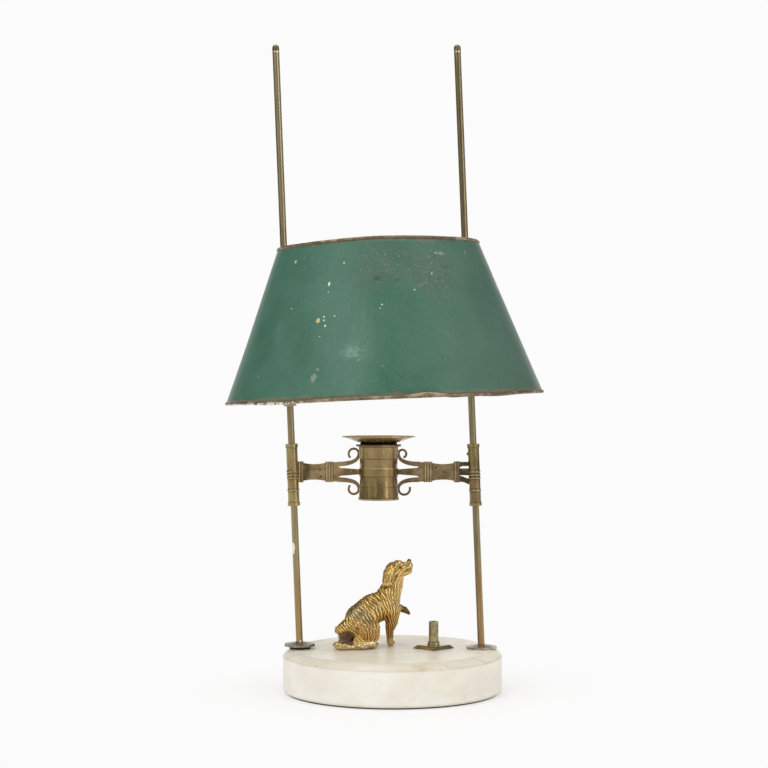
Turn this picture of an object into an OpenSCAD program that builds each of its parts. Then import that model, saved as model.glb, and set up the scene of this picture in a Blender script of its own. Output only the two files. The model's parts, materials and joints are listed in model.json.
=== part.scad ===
// Reading candle holder. A painted shade and a candle slide run on two leaning rods
// that stand on a round marble base with a gilt dog and a small plinth.
// Sizes are in millimetres. The origin is the middle of the underside, Z is up,
// X is to the right and -Y is towards the viewer.

/* [Base] */
// Diameter of the marble base
base_d = 166; // [160:1:200]
// Height of the marble
marble_h = 31.2; // [26:0.1:45]
// Width of the bevel round the top
bevel_w = 8.3; // [3:0.1:9]
// Height of the bevel round the top
bevel_h = 4.8; // [2:0.1:8]
// Radius of the bevel's bulge
bevel_r = 14; // [10:0.5:40]
// Radius of the eased lower edge
foot_round = 2; // [0.5:0.1:5]
// Thickness of the baize under the marble
baize_t = 1.1; // [0.6:0.1:3]
// How far the baize stays in from the marble's edge
baize_inset = 2.5; // [2:0.1:10]

/* [Rods] */
// Distance between the feet of the rods
rod_gap = 138; // [132:0.5:142]
// Middle of the rods' feet, right of the base's middle
rod_mid_x = -1.5; // [-3:0.1:3]
// Diameter of a rod
rod_d = 5.2; // [4.2:0.1:5.4]
// Length of a rod above the marble, without its finial
rod_len = 453; // [430:1:500]
// Lean of both rods to the left, in degrees
lean = 2.3; // [0:0.1:3.5]
// Diameter of the threaded tail under a rod
tail_d = 3.8; // [3:0.1:4]
// Height of a finial's knob
knob_h = 5.1; // [3.5:0.1:8]
// Diameter of a finial's knob
knob_d = 5.3; // [4.4:0.1:6]
// Height of the bright collar under a knob
collar_h = 1; // [0.6:0.1:2]
// Diameter of the stud in a finial
finial_stud_d = 2; // [1.5:0.1:2.4]

/* [Rod feet] */
// Width of a rosette over its corners
rosette_d = 24; // [18:0.5:26]
// Number of sides of a rosette
rosette_sides = 10; // [8, 10, 12]
// Thickness of a rosette at its rim
rosette_rim = 1.6; // [1:0.1:2.4]
// Height of a rosette at its middle
rosette_h = 2.9; // [2.5:0.1:4]
// Diameter of the washer under the left rosette
foot_washer_d = 16; // [14:0.5:24]
// Thickness of the washer under the left rosette
foot_washer_t = 2; // [0.8:0.1:2.4]

/* [Candle slide] */
// Height of the socket's middle above the table
slide_z = 166.2; // [150:0.1:175]
// Distance of the socket from the middle of the rods, to the right
socket_shift = -3.7; // [-5:0.1:2]
// Length of a sleeve
sleeve_len = 47; // [40:0.5:52]
// How far a sleeve's middle is below the socket's middle
sleeve_drop = 2; // [0:0.1:4]
// Outside diameter of a sleeve or a guide
tube_d = 8.6; // [8.3:0.1:9.2]
// Wall of a sleeve or a guide
tube_wall = 0.8; // [0.6:0.05:1]
// Diameter of the lip at the ends of a sleeve or a guide
lip_d = 9.5; // [9.3:0.1:10.2]
// Height of the lip
lip_h = 2.7; // [1.5:0.1:4]
// Radius of the rings round the middle of a sleeve
ring_r = 1; // [0.6:0.05:1.2]
// Length of a bush
bush_len = 4.5; // [3:0.1:6]
// Width of a leaf spring
spring_w = 3; // [2:0.1:3.4]
// Thickness of a leaf spring
spring_t = 0.35; // [0.2:0.05:0.5]
// Length of a leaf spring
spring_len = 36; // [24:0.5:36]
// Diameter of a spring's rivet
rivet_d = 1.4; // [1:0.1:1.8]

/* [Arms and socket] */
// Thickness of an arm
arm_t = 1.6; // [1.2:0.1:2]
// How far the arms lie behind the rods
arm_back = 4.5; // [4.2:0.1:5]
// Height of an arm at its waist
waist_h = 11.8; // [9:0.1:14]
// Height of an arm at its collars
arm_collar_h = 15.6; // [14.5:0.1:18]
// Distance of the inner collar from the socket's axis
inner_collar_x = 37.6; // [35:0.1:41]
// Radius of a scroll, to the middle of its line
scroll_r = 3.9; // [3:0.1:4.4]
// Thickness of a scroll's line
scroll_t = 1.7; // [1.2:0.1:2.2]
// Height of the socket
socket_h = 42; // [38:0.5:46]
// Outside diameter of the socket at its waist
socket_d = 28.5; // [27.5:0.1:30]
// Diameter of the socket's upper flange
socket_top_d = 34.4; // [32:0.1:37]
// Diameter of the socket's lower flange
socket_low_d = 31.2; // [30.6:0.1:34]
// Height of the raised band
band_h = 6; // [4:0.1:8]
// Thickness of the raised band
band_t = 0.6; // [0.4:0.1:1]

/* [Drip pan] */
// Diameter of the candle that the nozzle takes
candle_d = 22; // [20:0.1:22.4]
// Diameter of the drip pan
pan_d = 55.5; // [48:0.5:62]
// Depth of the drip pan
pan_depth = 4.4; // [3:0.1:7]
// Gap between the socket's flange and the pan
pan_gap = 2; // [1.5:0.1:3]
// Sheet thickness of the pan
pan_t = 0.8; // [0.6:0.1:1.2]
// Depth of the nozzle in the socket
nozzle_len = 24; // [18:0.5:30]

/* [Shade] */
// Height of the shade's lower edge above the marble, along the rods
shade_up = 190.4; // [186:0.1:230]
// Height of the shade between its rim wires
shade_h = 114.6; // [100:0.1:125]
// Diameter of the shade at the lower rim wire's middle
shade_low_d = 239.4; // [200:0.5:250]
// Diameter of the shade at the upper rim wire's middle
shade_top_d = 152; // [150:0.1:170]
// Thickness of the shade's sheet
shade_t = 0.7; // [0.5:0.1:1]
// Thickness of a rim wire
wire_d = 2.4; // [2:0.1:3.4]
// Distance of the shade's axis from the middle of the rods
shade_shift = 2.9; // [0:0.1:4]
// Width of the seam's lap strip
seam_w = 9; // [6:0.5:14]
// How far the left guide hangs below the shade
left_guide_drop = 3.4; // [0:0.1:4]
// How far the right guide stays above the shade's edge
right_guide_rise = 2; // [0:0.1:6]
// Distance from the top of a guide to the shade's upper rim wire
guide_top_gap = 8; // [6:0.5:16]
// Height of the upper lugs
lug_h = 9; // [6:0.5:12]
// Width of the upper lugs
lug_w = 5; // [3:0.5:6]
// Thickness of the lower stays
stay_t = 1.6; // [1:0.1:3]
// Width of the lower stays
stay_w = 8; // [5:0.5:8.5]

/* [Dog] */
// Height of the dog
dog_h = 68; // [58:0.5:72]
// Middle of the dog's ground, right of the base's middle
dog_x = -26.6; // [-30:0.1:-24]
// Turn of the dog away from the viewer, in degrees
dog_turn = 22; // [0:1:40]

/* [Plinth] */
// Middle of the plinth, right of the base's middle
plinth_x = 31.2; // [30:0.1:40]
// Side of the plinth's lowest step
plinth_side = 21.8; // [18:0.1:26]
// Turn of the plinth, in degrees
plinth_turn = 47; // [0:1:90]
// Outside diameter of the plinth's tube
post_d = 7.4; // [6.5:0.1:9]
// Diameter of the hole in the plinth's tube
post_bore_d = 5; // [4:0.1:5.2]
// Height of the plinth's tube
post_h = 15.5; // [10:0.5:20]

/* [Fits] */
// Clearance between a rod and what slides on it
run_clear = 0.05; // [0.02:0.01:0.1]
// Clearance round a thread or a stud in its hole
thread_clear = 0.05; // [0.02:0.01:0.15]
// Clearance between the nozzle and the socket
nozzle_clear = 0.1; // [0.05:0.01:0.2]
// Clearance between the candle and the nozzle
candle_clear = 0.2; // [0.1:0.05:0.4]
// Clearance of a rod in its rosette and of a tail in the marble
slip_clear = 0.2; // [0.1:0.05:0.3]
// Film of solder between two pieces
solder = 0.04; // [0.02:0.01:0.08]

/* [Hidden] */
$fn = 64;

base_r = base_d / 2;
base_top = baize_t + marble_h;
rod_r = rod_d / 2;
// A level plate on the marble stops the lower corner of the leaning rod's shoulder
rod_shoulder = rod_r * tan(lean);
nut_h = 3;
nut_d = 8;
nut_washer_d = 10;
nut_washer_t = 1;
seat_d = 13;
seat_h = 9;
tail_len = marble_h - seat_h + nut_washer_t + nut_h + 1.5;
finial_stud_len = 5;
tube_r = tube_d / 2;
lip_r = lip_d / 2;
tube_bore_r = tube_r - tube_wall;
bush_bore_r = rod_r + run_clear;
sleeve_z = slide_z - sleeve_drop;
socket_x = rod_mid_x - (slide_z - base_top) * tan(lean) + socket_shift;
socket_r = socket_d / 2;
socket_end_r = socket_r + 0.8;
socket_low = slide_z - socket_h / 2;
socket_flange_t = 1.4;
candle_r = candle_d / 2 + candle_clear;
nozzle_r = candle_r + 1.3;
socket_bore_r = nozzle_r + nozzle_clear;
socket_floor_t = 1.2;
band_r = socket_r + solder + band_t;
shade_low_r = shade_low_d / 2;
shade_top_r = shade_top_d / 2;
shade_half_t = shade_t / 2 / cos(atan((shade_low_r - shade_top_r) / shade_h));
wire_r = wire_d / 2;
rod_half = rod_gap / 2 * cos(lean);
guide_high = shade_up + shade_h - guide_top_gap;
// Level distances from the socket's axis to the rods
reach_left = rod_gap / 2 + socket_shift;
reach_right = rod_gap / 2 - socket_shift;
outer_collar_x = min(reach_left, reach_right) - 4.6;
slit_x = 31.4;
plate_h = 2.6;
pad_h = 2.4;
pad_d = post_d + 2.2;
post_low = base_top + plate_h + pad_h;
dog_scale = dog_h / 68.6;

function rod_x(side, z) = rod_mid_x + side * rod_gap / 2 - (z - base_top) * tan(lean);
function guide_low(side) = side < 0 ? shade_up - left_guide_drop : shade_up + right_guide_rise;
function shade_mid_r(h) = shade_low_r + (shade_top_r - shade_low_r) * h / shade_h;
function socket_side(h, low, high) =
    socket_r + (socket_end_r - socket_r) * pow((2 * h - low - high) / (high - low), 2);

// Frame on a rod's foot, with Z along the rod
module on_rod(side) {
    translate([rod_mid_x + side * rod_gap / 2, 0, base_top])
        rotate([0, -lean, 0])
            children();
}

// Frame midway between the feet of the rods, with Z along the rods
module between_rods() {
    translate([rod_mid_x, 0, base_top])
        rotate([0, -lean, 0])
            children();
}

// Frame on a rod at the height of the sleeves' middle
module at_sleeve(side) {
    translate([rod_x(side, sleeve_z), 0, sleeve_z])
        rotate([0, -lean, 0])
            children();
}

// Frame on a rod at the lower end of a guide
module at_guide(side) {
    between_rods()
        translate([side * rod_half, 0, guide_low(side)])
            children();
}

// Frame on the axis of the shade at its lower edge
module at_shade() {
    between_rods()
        translate([shade_shift, 0, shade_up])
            children();
}

// Frame on the socket's axis at its lower end
module at_socket() {
    translate([socket_x, 0, socket_low])
        children();
}

// Base

module marble_outline() {
    chord = norm([bevel_w, bevel_h]);
    inward = sqrt(bevel_r * bevel_r - chord * chord / 4) / chord;
    difference() {
        square([base_r, marble_h]);
        difference() {
            translate([base_r - bevel_w, marble_h - bevel_h])
                square([bevel_w + 1, bevel_h + 1]);
            translate([base_r - bevel_w / 2 - inward * bevel_h, marble_h - bevel_h / 2 - inward * bevel_w])
                circle(r = bevel_r);
        }
        difference() {
            translate([base_r - foot_round, -1])
                square([foot_round + 1, foot_round + 1]);
            translate([base_r - foot_round, foot_round])
                circle(r = foot_round);
        }
    }
}

// Hole from the top of the marble to a wider seat for the nut below it
module nut_hole(d) {
    translate([0, 0, -marble_h - 5])
        cylinder(d = d + 2 * slip_clear, h = marble_h + 10);
    translate([0, 0, -marble_h - 5])
        cylinder(d = seat_d, h = seat_h + 5);
}

module marble_base() {
    color("white")
        difference() {
            translate([0, 0, baize_t])
                rotate_extrude()
                    marble_outline();
            for (side = [-1, 1])
                on_rod(side)
                    nut_hole(tail_d);
            translate([dog_x, 0, base_top])
                nut_hole(tail_d);
            translate([plinth_x, 0, base_top])
                nut_hole(tail_d);
        }
}

module base_baize() {
    color("darkolivegreen")
        cylinder(r = base_r - baize_inset, h = baize_t);
}

// Rods and their ends

module rod(side) {
    color("goldenrod")
        on_rod(side)
            difference() {
                union() {
                    translate([0, 0, rod_shoulder])
                        cylinder(d = rod_d, h = rod_len - rod_shoulder);
                    translate([0, 0, -tail_len])
                        cylinder(d = tail_d, h = tail_len + rod_shoulder + 1);
                }
                translate([0, 0, rod_len - finial_stud_len - 1])
                    cylinder(d = finial_stud_d + 2 * thread_clear, h = finial_stud_len + 2);
            }
}

module rod_left() {
    rod(-1);
}

module rod_right() {
    rod(1);
}

module finial(side) {
    color("goldenrod")
        on_rod(side) {
            translate([0, 0, rod_len - finial_stud_len])
                cylinder(d = finial_stud_d, h = finial_stud_len + collar_h + 1);
            translate([0, 0, rod_len + collar_h])
                cylinder(d = knob_d, h = knob_h - knob_d / 2);
            translate([0, 0, rod_len + collar_h + knob_h - knob_d / 2])
                sphere(d = knob_d);
        }
}

module finial_left() {
    finial(-1);
}

module finial_right() {
    finial(1);
}

module finial_collars() {
    color("wheat")
        for (side = [-1, 1])
            on_rod(side)
                translate([0, 0, rod_len])
                    difference() {
                        cylinder(d = knob_d, h = collar_h);
                        translate([0, 0, -1])
                            cylinder(d = finial_stud_d + 2 * thread_clear, h = collar_h + 2);
                    }
}

// Leaning hole for a rod in the level plates at its foot
module rod_hole(side) {
    on_rod(side)
        translate([0, 0, -5])
            cylinder(d = rod_d + 2 * slip_clear, h = 20);
}

module rosette(side, low) {
    color("goldenrod")
        difference() {
            translate([rod_mid_x + side * rod_gap / 2, 0, base_top + low]) {
                rotate([0, 0, 20])
                    cylinder(d = rosette_d, h = rosette_rim, $fn = rosette_sides);
                translate([0, 0, rosette_rim])
                    cylinder(r1 = rosette_d / 2 * cos(180 / rosette_sides) - 0.5, r2 = rod_r + 2,
                        h = rosette_h - rosette_rim);
            }
            rod_hole(side);
        }
}

module rosette_left() {
    rosette(-1, foot_washer_t);
}

module rosette_right() {
    rosette(1, 0);
}

module foot_washer_left() {
    color("saddlebrown")
        difference() {
            translate([rod_mid_x - rod_gap / 2, 0, base_top])
                cylinder(d = foot_washer_d, h = foot_washer_t);
            rod_hole(-1);
        }
}

// Washer against the top of a nut's seat
module nut_washer() {
    translate([0, 0, seat_h - marble_h - nut_washer_t])
        difference() {
            cylinder(d = nut_washer_d, h = nut_washer_t);
            translate([0, 0, -1])
                cylinder(d = tail_d + 2 * thread_clear, h = nut_washer_t + 2);
        }
}

// Nut under a washer of thickness t in its seat
module tail_nut(t) {
    translate([0, 0, seat_h - marble_h - t - nut_h])
        difference() {
            cylinder(d = nut_d, h = nut_h, $fn = 6);
            translate([0, 0, -1])
                cylinder(d = tail_d + 2 * thread_clear, h = nut_h + 2);
        }
}

module rod_washers() {
    color("tan")
        for (side = [-1, 1])
            on_rod(side)
                nut_washer();
}

module rod_nuts() {
    color("goldenrod")
        for (side = [-1, 1])
            on_rod(side)
                tail_nut(nut_washer_t);
}

// Dog

// One blob of the dog: forward, sideways, up, radius and width for its radius
module blob(x, y, z, r, w = 0.9) {
    translate([x, y, z])
        scale([1, w, 1])
            sphere(r = r, $fn = 20);
}

module dog_trunk() {
    hull() {
        blob(1, 0, 18.5, 12.6);
        blob(11.7, 0, 29.4, 11.6);
    }
    hull() {
        blob(11.7, 0, 29.4, 11.6);
        blob(21.3, 0, 33.4, 11.2);
    }
    hull() {
        blob(21.3, 0, 33.4, 11.2);
        blob(24.6, 0, 42, 8.8);
    }
    hull() {
        blob(24.6, 0, 42, 8.8);
        blob(28.8, 0, 53, 7.6);
    }
}

module dog_head() {
    hull() {
        blob(28.8, 0, 53, 7.6);
        blob(31, 0, 59.3, 7.4);
        blob(33.6, 0, 62, 5.6);
    }
    hull() {
        blob(34, 0, 59.4, 6.2);
        blob(40.2, 0, 62.6, 4.6);
        blob(41.2, 0, 59.4, 3.4);
    }
    blob(41.6, 0, 66.5, 1.7, 1.2);
    for (side = [-1, 1]) {
        blob(34.6, side * 3, 65.2, 2.4);
        hull() {
            blob(29.4, side * 6.2, 62, 2.6, 0.6);
            blob(26.2, side * 7.2, 53.4, 3.8, 0.5);
        }
    }
}

module dog_legs() {
    hull() {
        blob(26, -5, 29.5, 7.4);
        blob(27, -5.4, 19.8, 4.6);
    }
    hull() {
        blob(27, -5.4, 19.8, 4.6);
        blob(25.8, -5.4, 8, 2.9, 1);
    }
    hull() {
        blob(25.8, -5.4, 8, 2.9, 1);
        blob(26.2, -5.4, 2.2, 2.9, 1);
        blob(28, -5.4, 1.4, 2.4, 1.2);
    }
    hull() {
        blob(27, 5, 28.8, 5.2);
        blob(35.4, 5, 28.6, 2.8, 1);
        blob(41.6, 5, 25.6, 1.7, 1.2);
    }
    for (side = [-1, 1]) {
        hull() {
            blob(7.6, side * 8.4, 15.4, 9, 0.6);
            blob(13.4, side * 8.8, 11.4, 5.6, 0.7);
        }
        hull() {
            blob(4, side * 8.6, 5.4, 3.8, 0.9);
            blob(14.8, side * 8.6, 4.8, 2.8, 1.1);
        }
    }
}

module dog_ground() {
    hull() {
        translate([-10, 0, 0])
            cylinder(r = 9.6, h = 2.4, $fn = 32);
        translate([9, 0, 0])
            cylinder(r = 11.5, h = 2.4, $fn = 32);
        translate([-8, 0, 2.4])
            cylinder(r = 8.4, h = 1.2, $fn = 32);
        translate([8, 0, 2.4])
            cylinder(r = 10, h = 1.2, $fn = 32);
    }
    hull() {
        blob(-9, 0, 11.5, 5);
        blob(-15.4, -2, 13.4, 2.6);
        blob(-13, -2, 5, 3);
    }
}

module dog_figure() {
    color("gold")
        translate([dog_x, 0, base_top])
            rotate([0, 0, dog_turn])
                difference() {
                    scale(dog_scale) {
                        dog_trunk();
                        dog_head();
                        dog_legs();
                        dog_ground();
                    }
                    translate([-60, -60, -20])
                        cube([140, 120, 20]);
                    translate([0, 0, -1])
                        cylinder(d = tail_d + 0.3, h = 9, $fn = 32);
                }
}

module dog_stud() {
    color("goldenrod")
        translate([dog_x, 0, base_top - tail_len])
            cylinder(d = tail_d, h = tail_len + 7.9);
}

module dog_nut() {
    color("goldenrod")
        translate([dog_x, 0, base_top])
            tail_nut(0);
}

// Plinth

// Square step of the plinth, from low to high and from one half side to another
module step(low, high, low_half, high_half) {
    hull() {
        translate([-low_half, -low_half, low])
            cube([2 * low_half, 2 * low_half, 0.01]);
        translate([-high_half, -high_half, high - 0.01])
            cube([2 * high_half, 2 * high_half, 0.01]);
    }
}

module plinth_plate() {
    half = plinth_side / 2;
    color("goldenrod")
        translate([plinth_x, 0, base_top])
            difference() {
                rotate([0, 0, plinth_turn]) {
                    translate([-half, -half, 0])
                        cube([plinth_side, plinth_side, 0.7]);
                    step(0.7, plate_h - 0.4, half - 0.3, half - 1.7);
                    step(plate_h - 0.4, plate_h, half - 2.1, half - 2.3);
                    translate([0, 0, plate_h - 0.4])
                        cylinder(d1 = pad_d, d2 = pad_d - 0.6, h = pad_h + 0.4);
                }
                translate([0, 0, -1])
                    cylinder(d = tail_d + 2 * thread_clear, h = plate_h + pad_h + 2);
            }
}

module plinth_tube() {
    color("goldenrod")
        translate([plinth_x, 0, 0])
            difference() {
                union() {
                    translate([0, 0, base_top - tail_len])
                        cylinder(d = tail_d, h = tail_len + post_low - base_top + 1);
                    translate([0, 0, post_low])
                        cylinder(d = post_d, h = post_h);
                }
                translate([0, 0, post_low + 2])
                    cylinder(d = post_bore_d, h = post_h);
            }
}

module plinth_nut() {
    color("goldenrod")
        translate([plinth_x, 0, base_top])
            tail_nut(0);
}

// Sleeves, guides and what is inside them

// Outline of a tube's outside with a lip at each end, grown by g
module tube_outline(len, g = 0) {
    translate([0, -g])
        square([tube_r + g, len + 2 * g]);
    translate([0, -g])
        square([lip_r + g, lip_h + 2 * g]);
    translate([0, len - lip_h - g])
        square([lip_r + g, lip_h + 2 * g]);
}

// Outline of a sleeve's outside, with three rings at its middle and one below, grown by g
module sleeve_outline(g = 0) {
    tube_outline(sleeve_len, g);
    for (h = [sleeve_len / 2 - 2.4, sleeve_len / 2, sleeve_len / 2 + 2.4, sleeve_len / 4])
        intersection() {
            translate([lip_r - ring_r, h])
                circle(r = ring_r + g);
            square([lip_r + 1, sleeve_len]);
        }
}

// Hole for the rivet of a spring, turned round the tube and at a height in it
module rivet_hole(turn, z) {
    rotate([0, 0, turn])
        translate([0, 0, z])
            rotate([0, 90, 0])
                cylinder(d = rivet_d + 2 * thread_clear, h = lip_r + 1);
}

// Bush in one end of a tube
module bush(z) {
    translate([0, 0, z])
        difference() {
            cylinder(r = tube_bore_r - solder, h = bush_len);
            translate([0, 0, -1])
                cylinder(r = bush_bore_r, h = bush_len + 2);
        }
}

// Height of a spring's rivet above the spring's middle
rivet_up = spring_len / 2 - 2;
// Distance of a spring's ends from the rod's axis, to their inner face
spring_end = sqrt(tube_bore_r * tube_bore_r - spring_w * spring_w / 4) - solder - spring_t;

function spring_r(z) = bush_bore_r + (spring_end - bush_bore_r) * pow(2 * z / spring_len, 2);

// Bowed leaf spring that presses on the rod, with its middle at a height in the tube
module leaf_spring(turn, z) {
    steps = 12;
    heights = [for (i = [0:steps]) spring_len * (i / steps - 0.5)];
    difference() {
        rotate([0, 0, turn])
            translate([0, spring_w / 2, z])
                rotate([90, 0, 0])
                    linear_extrude(height = spring_w)
                        polygon(concat([for (h = heights) [spring_r(h), h]],
                            [for (i = [steps:-1:0]) [spring_r(heights[i]) + spring_t, heights[i]]]));
        rivet_hole(turn, z + rivet_up);
    }
}

// Rivet through the tube and the end of its spring
module spring_rivet(turn, z) {
    rotate([0, 0, turn])
        translate([0, 0, z + rivet_up])
            rotate([0, 90, 0]) {
                translate([0, 0, spring_r(rivet_up)])
                    cylinder(d = rivet_d, h = tube_r - spring_r(rivet_up) + 0.4);
                translate([0, 0, tube_r + solder])
                    cylinder(d1 = rivet_d + 1.4, d2 = rivet_d, h = 0.9);
            }
}

// The left spring is at the back of its sleeve and the right one faces the socket
function spring_turn(side) = side < 0 ? 90 : 180;

module sleeve(side) {
    color("darkgoldenrod")
        at_sleeve(side)
            translate([0, 0, -sleeve_len / 2])
                difference() {
                    rotate_extrude()
                        difference() {
                            sleeve_outline();
                            translate([0, -1])
                                square([tube_bore_r, sleeve_len + 2]);
                        }
                    rivet_hole(spring_turn(side), sleeve_len / 2 + rivet_up);
                }
}

module sleeve_left() {
    sleeve(-1);
}

module sleeve_right() {
    sleeve(1);
}

module sleeve_bushes() {
    color("burlywood")
        for (side = [-1, 1])
            at_sleeve(side) {
                bush(-sleeve_len / 2);
                bush(sleeve_len / 2 - bush_len);
            }
}

module sleeve_springs() {
    color("silver")
        for (side = [-1, 1])
            at_sleeve(side)
                leaf_spring(spring_turn(side), 0);
}

module sleeve_rivets() {
    color("goldenrod")
        for (side = [-1, 1])
            at_sleeve(side)
                spring_rivet(spring_turn(side), 0);
}

// Arms

// Point on the curve from a finger's root to the side of its scroll
function bend(t, a, b, c, d) =
    a * pow(1 - t, 3) + 3 * b * t * pow(1 - t, 2) + 3 * c * t * t * (1 - t) + d * pow(t, 3);

// Distance from the socket's axis to the middle of a finger that lies against the socket
finger_x = sqrt(pow(socket_end_r - 0.4, 2) - pow(arm_back - arm_t / 2, 2)) + scroll_t / 2 + solder;

// Middle line of an outer finger: it leaves the plate level, turns up along the socket
// and rolls over into a scroll that ends after the given turn
function finger_line(r, up, turn) =
    let (x = finger_x, root = arm_collar_h / 2 - 1.9)
    concat(
        [for (i = [0:14]) bend(i / 15, [slit_x, root], [slit_x - 9, root + 0.2], [x, up - 6], [x, up])],
        [for (i = [0:20]) [x + r, up] + r * [cos(180 - turn * i / 20), sin(180 - turn * i / 20)]]);

// Outline along a line of points, with a width that goes from w0 to w1
function strip(p, w0, w1) =
    let (n = len(p) - 1,
        ways = [for (i = [0:n]) p[min(i + 1, n)] - p[max(i - 1, 0)]],
        offs = [for (i = [0:n]) [-ways[i][1], ways[i][0]] / norm(ways[i]) *
            (w0 + (w1 - w0) * min(1, 1.8 * i / n)) / 2])
    concat([for (i = [0:n]) p[i] + offs[i]], [for (i = [n:-1:0]) p[i] - offs[i]]);

// Half height of the plate between its collars
function plate_half(x) =
    let (t = (2 * x - inner_collar_x - outer_collar_x) / (outer_collar_x - inner_collar_x))
    waist_h / 2 + (arm_collar_h / 2 - waist_h / 2 - 0.1) * pow(t, 2);

// Outline of an arm in the plane of the rods: x from the socket's axis, y up
module arm_outline(reach, up_r, up_turn, low_r, low_turn) {
    steps = 16;
    xs = [for (i = [0:steps]) inner_collar_x + (outer_collar_x - inner_collar_x) * i / steps];
    polygon(concat([for (x = xs) [x, plate_half(x)]],
        [for (i = [steps:-1:0]) [xs[i], -plate_half(xs[i])]]));
    // Root of the fingers, then the fingers
    translate([slit_x - 0.6, -arm_collar_h / 2 + 0.4])
        square([inner_collar_x - slit_x + 0.6, arm_collar_h - 0.8]);
    polygon(strip(finger_line(up_r, 13.8, up_turn), 3.8, scroll_t));
    mirror([0, 1])
        polygon(strip(finger_line(low_r, 13, low_turn), 3.8, scroll_t));
    // Middle finger, as broad at its root as the slits leave it
    neck_x = slit_x - 2.6;
    polygon([[0, 1.9], [socket_r, 1.9], [neck_x, 3], [slit_x, 4.2],
        [slit_x, -4.2], [neck_x, -3], [socket_r, -1.9], [0, -1.9]]);
    // Fork at the sleeve: a level prong, a straight one and one that droops
    end = reach + 1;
    root = outer_collar_x;
    polygon([[root, 3], [root + 3.2, 4.4], [end, 4.4], [end, 7.6], [root, 7.6]]);
    translate([root, -2.6])
        square([end - root, 5.2]);
    polygon([[root, -2.8], [root + 3, -3.4], [end, -7.2], [end, -11.8], [root + 4, -7.8], [root, -7.4]]);
}

// Ridge across an arm
module ridge(x, h) {
    translate([x, arm_back, slide_z - h / 2])
        cylinder(r = 1.15, h = h);
}

// What an arm fits against: the socket's band, and the rings of a sleeve
module arm_seats(side) {
    at_socket()
        translate([0, 0, socket_h / 2 - band_h / 2])
            cylinder(r = band_r + solder, h = band_h);
    at_sleeve(side)
        translate([0, 0, -sleeve_len / 2])
            cylinder(r = lip_r + solder, h = sleeve_len);
}

// Places of the two rivets in an arm: from the socket's axis, and up
function arm_rivet_spots(side) = side < 0 ? [[44.8, 1.6], [44, -3.4]] : [[43.8, 3.6], [51, -0.4]];

module arm_rivet_shape(side, spot, d, out) {
    translate([socket_x + side * spot[0], arm_back - arm_t / 2 - out, slide_z + spot[1]])
        rotate([-90, 0, 0])
            cylinder(d = d, h = arm_t + 2 * out);
}

module arm(side, reach, up_r, up_turn, low_r, low_turn) {
    color("darkgoldenrod")
        difference() {
            union() {
                translate([socket_x, arm_back + arm_t / 2, slide_z])
                    mirror([side < 0 ? 1 : 0, 0, 0])
                        rotate([90, 0, 0])
                            linear_extrude(height = arm_t)
                                arm_outline(reach, up_r, up_turn, low_r, low_turn);
                for (x = [-2, 0, 2])
                    ridge(socket_x + side * (inner_collar_x + x), arm_collar_h);
                for (x = [-2.2, 0])
                    ridge(socket_x + side * (outer_collar_x + x), arm_collar_h + 0.4);
            }
            arm_seats(side);
            for (spot = arm_rivet_spots(side))
                arm_rivet_shape(side, spot, rivet_d + 2 * thread_clear, 2);
        }
}

module arm_left() {
    arm(-1, reach_left, scroll_r, 230, scroll_r, 225);
}

module arm_right() {
    arm(1, reach_right, scroll_r - 0.9, 255, scroll_r + 0.5, 200);
}

module arm_rivets() {
    color("saddlebrown")
        for (side = [-1, 1])
            for (spot = arm_rivet_spots(side))
                arm_rivet_shape(side, spot, rivet_d, 0.25);
}

// Socket

// Outline of the socket's outside, grown by g
module socket_outline(g = 0) {
    low = socket_flange_t;
    high = socket_h - socket_flange_t;
    steps = 20;
    heights = [for (i = [0:steps]) low + (high - low) * i / steps];
    translate([0, -g])
        square([socket_low_d / 2 + g, socket_flange_t + 2 * g]);
    translate([0, socket_h - socket_flange_t - g])
        square([socket_top_d / 2 + g, socket_flange_t + 2 * g]);
    polygon(concat([[0, low]], [for (h = heights) [socket_side(h, low, high) + g, h]], [[0, high]]));
}

module socket_tube() {
    color("darkgoldenrod")
        at_socket()
            rotate_extrude()
                difference() {
                    socket_outline();
                    translate([0, -1])
                        square([socket_bore_r, socket_h + 2]);
                    // Two turned lines
                    for (h = [9.7, 31.1])
                        translate([socket_r + 0.05, h])
                            square([3, 0.5]);
                }
}

module socket_band() {
    color("darkgoldenrod")
        at_socket()
            translate([0, 0, socket_h / 2 - band_h / 2])
                difference() {
                    cylinder(r = band_r, h = band_h);
                    rotate_extrude()
                        translate([0, band_h / 2 - socket_h / 2])
                            socket_outline(solder);
                }
}

module socket_floor() {
    color("darkgoldenrod")
        at_socket()
            cylinder(r = socket_bore_r - solder, h = socket_floor_t);
}

// Drip pan

module drip_pan() {
    floor_r = socket_top_d / 2 - 1;
    rim_r = pan_d / 2;
    color("peru")
        at_socket()
            translate([0, 0, socket_h + pan_gap])
                rotate_extrude()
                    polygon([[nozzle_r + solder, 0], [floor_r, 0], [rim_r - 1.4, pan_depth - pan_t],
                        [rim_r, pan_depth - pan_t], [rim_r, pan_depth], [rim_r - 1.8, pan_depth],
                        [floor_r - 0.3, pan_t], [nozzle_r + solder, pan_t]]);
}

module pan_nozzle() {
    color("peru")
        at_socket()
            translate([0, 0, socket_h])
                difference() {
                    union() {
                        translate([0, 0, -nozzle_len])
                            cylinder(r = nozzle_r, h = nozzle_len + pan_gap + pan_t);
                        cylinder(r = nozzle_r + 1.4, h = pan_gap - solder);
                    }
                    translate([0, 0, 1 - nozzle_len])
                        cylinder(r = candle_r, h = nozzle_len + pan_gap + pan_t);
                }
}

// Shade

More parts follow.
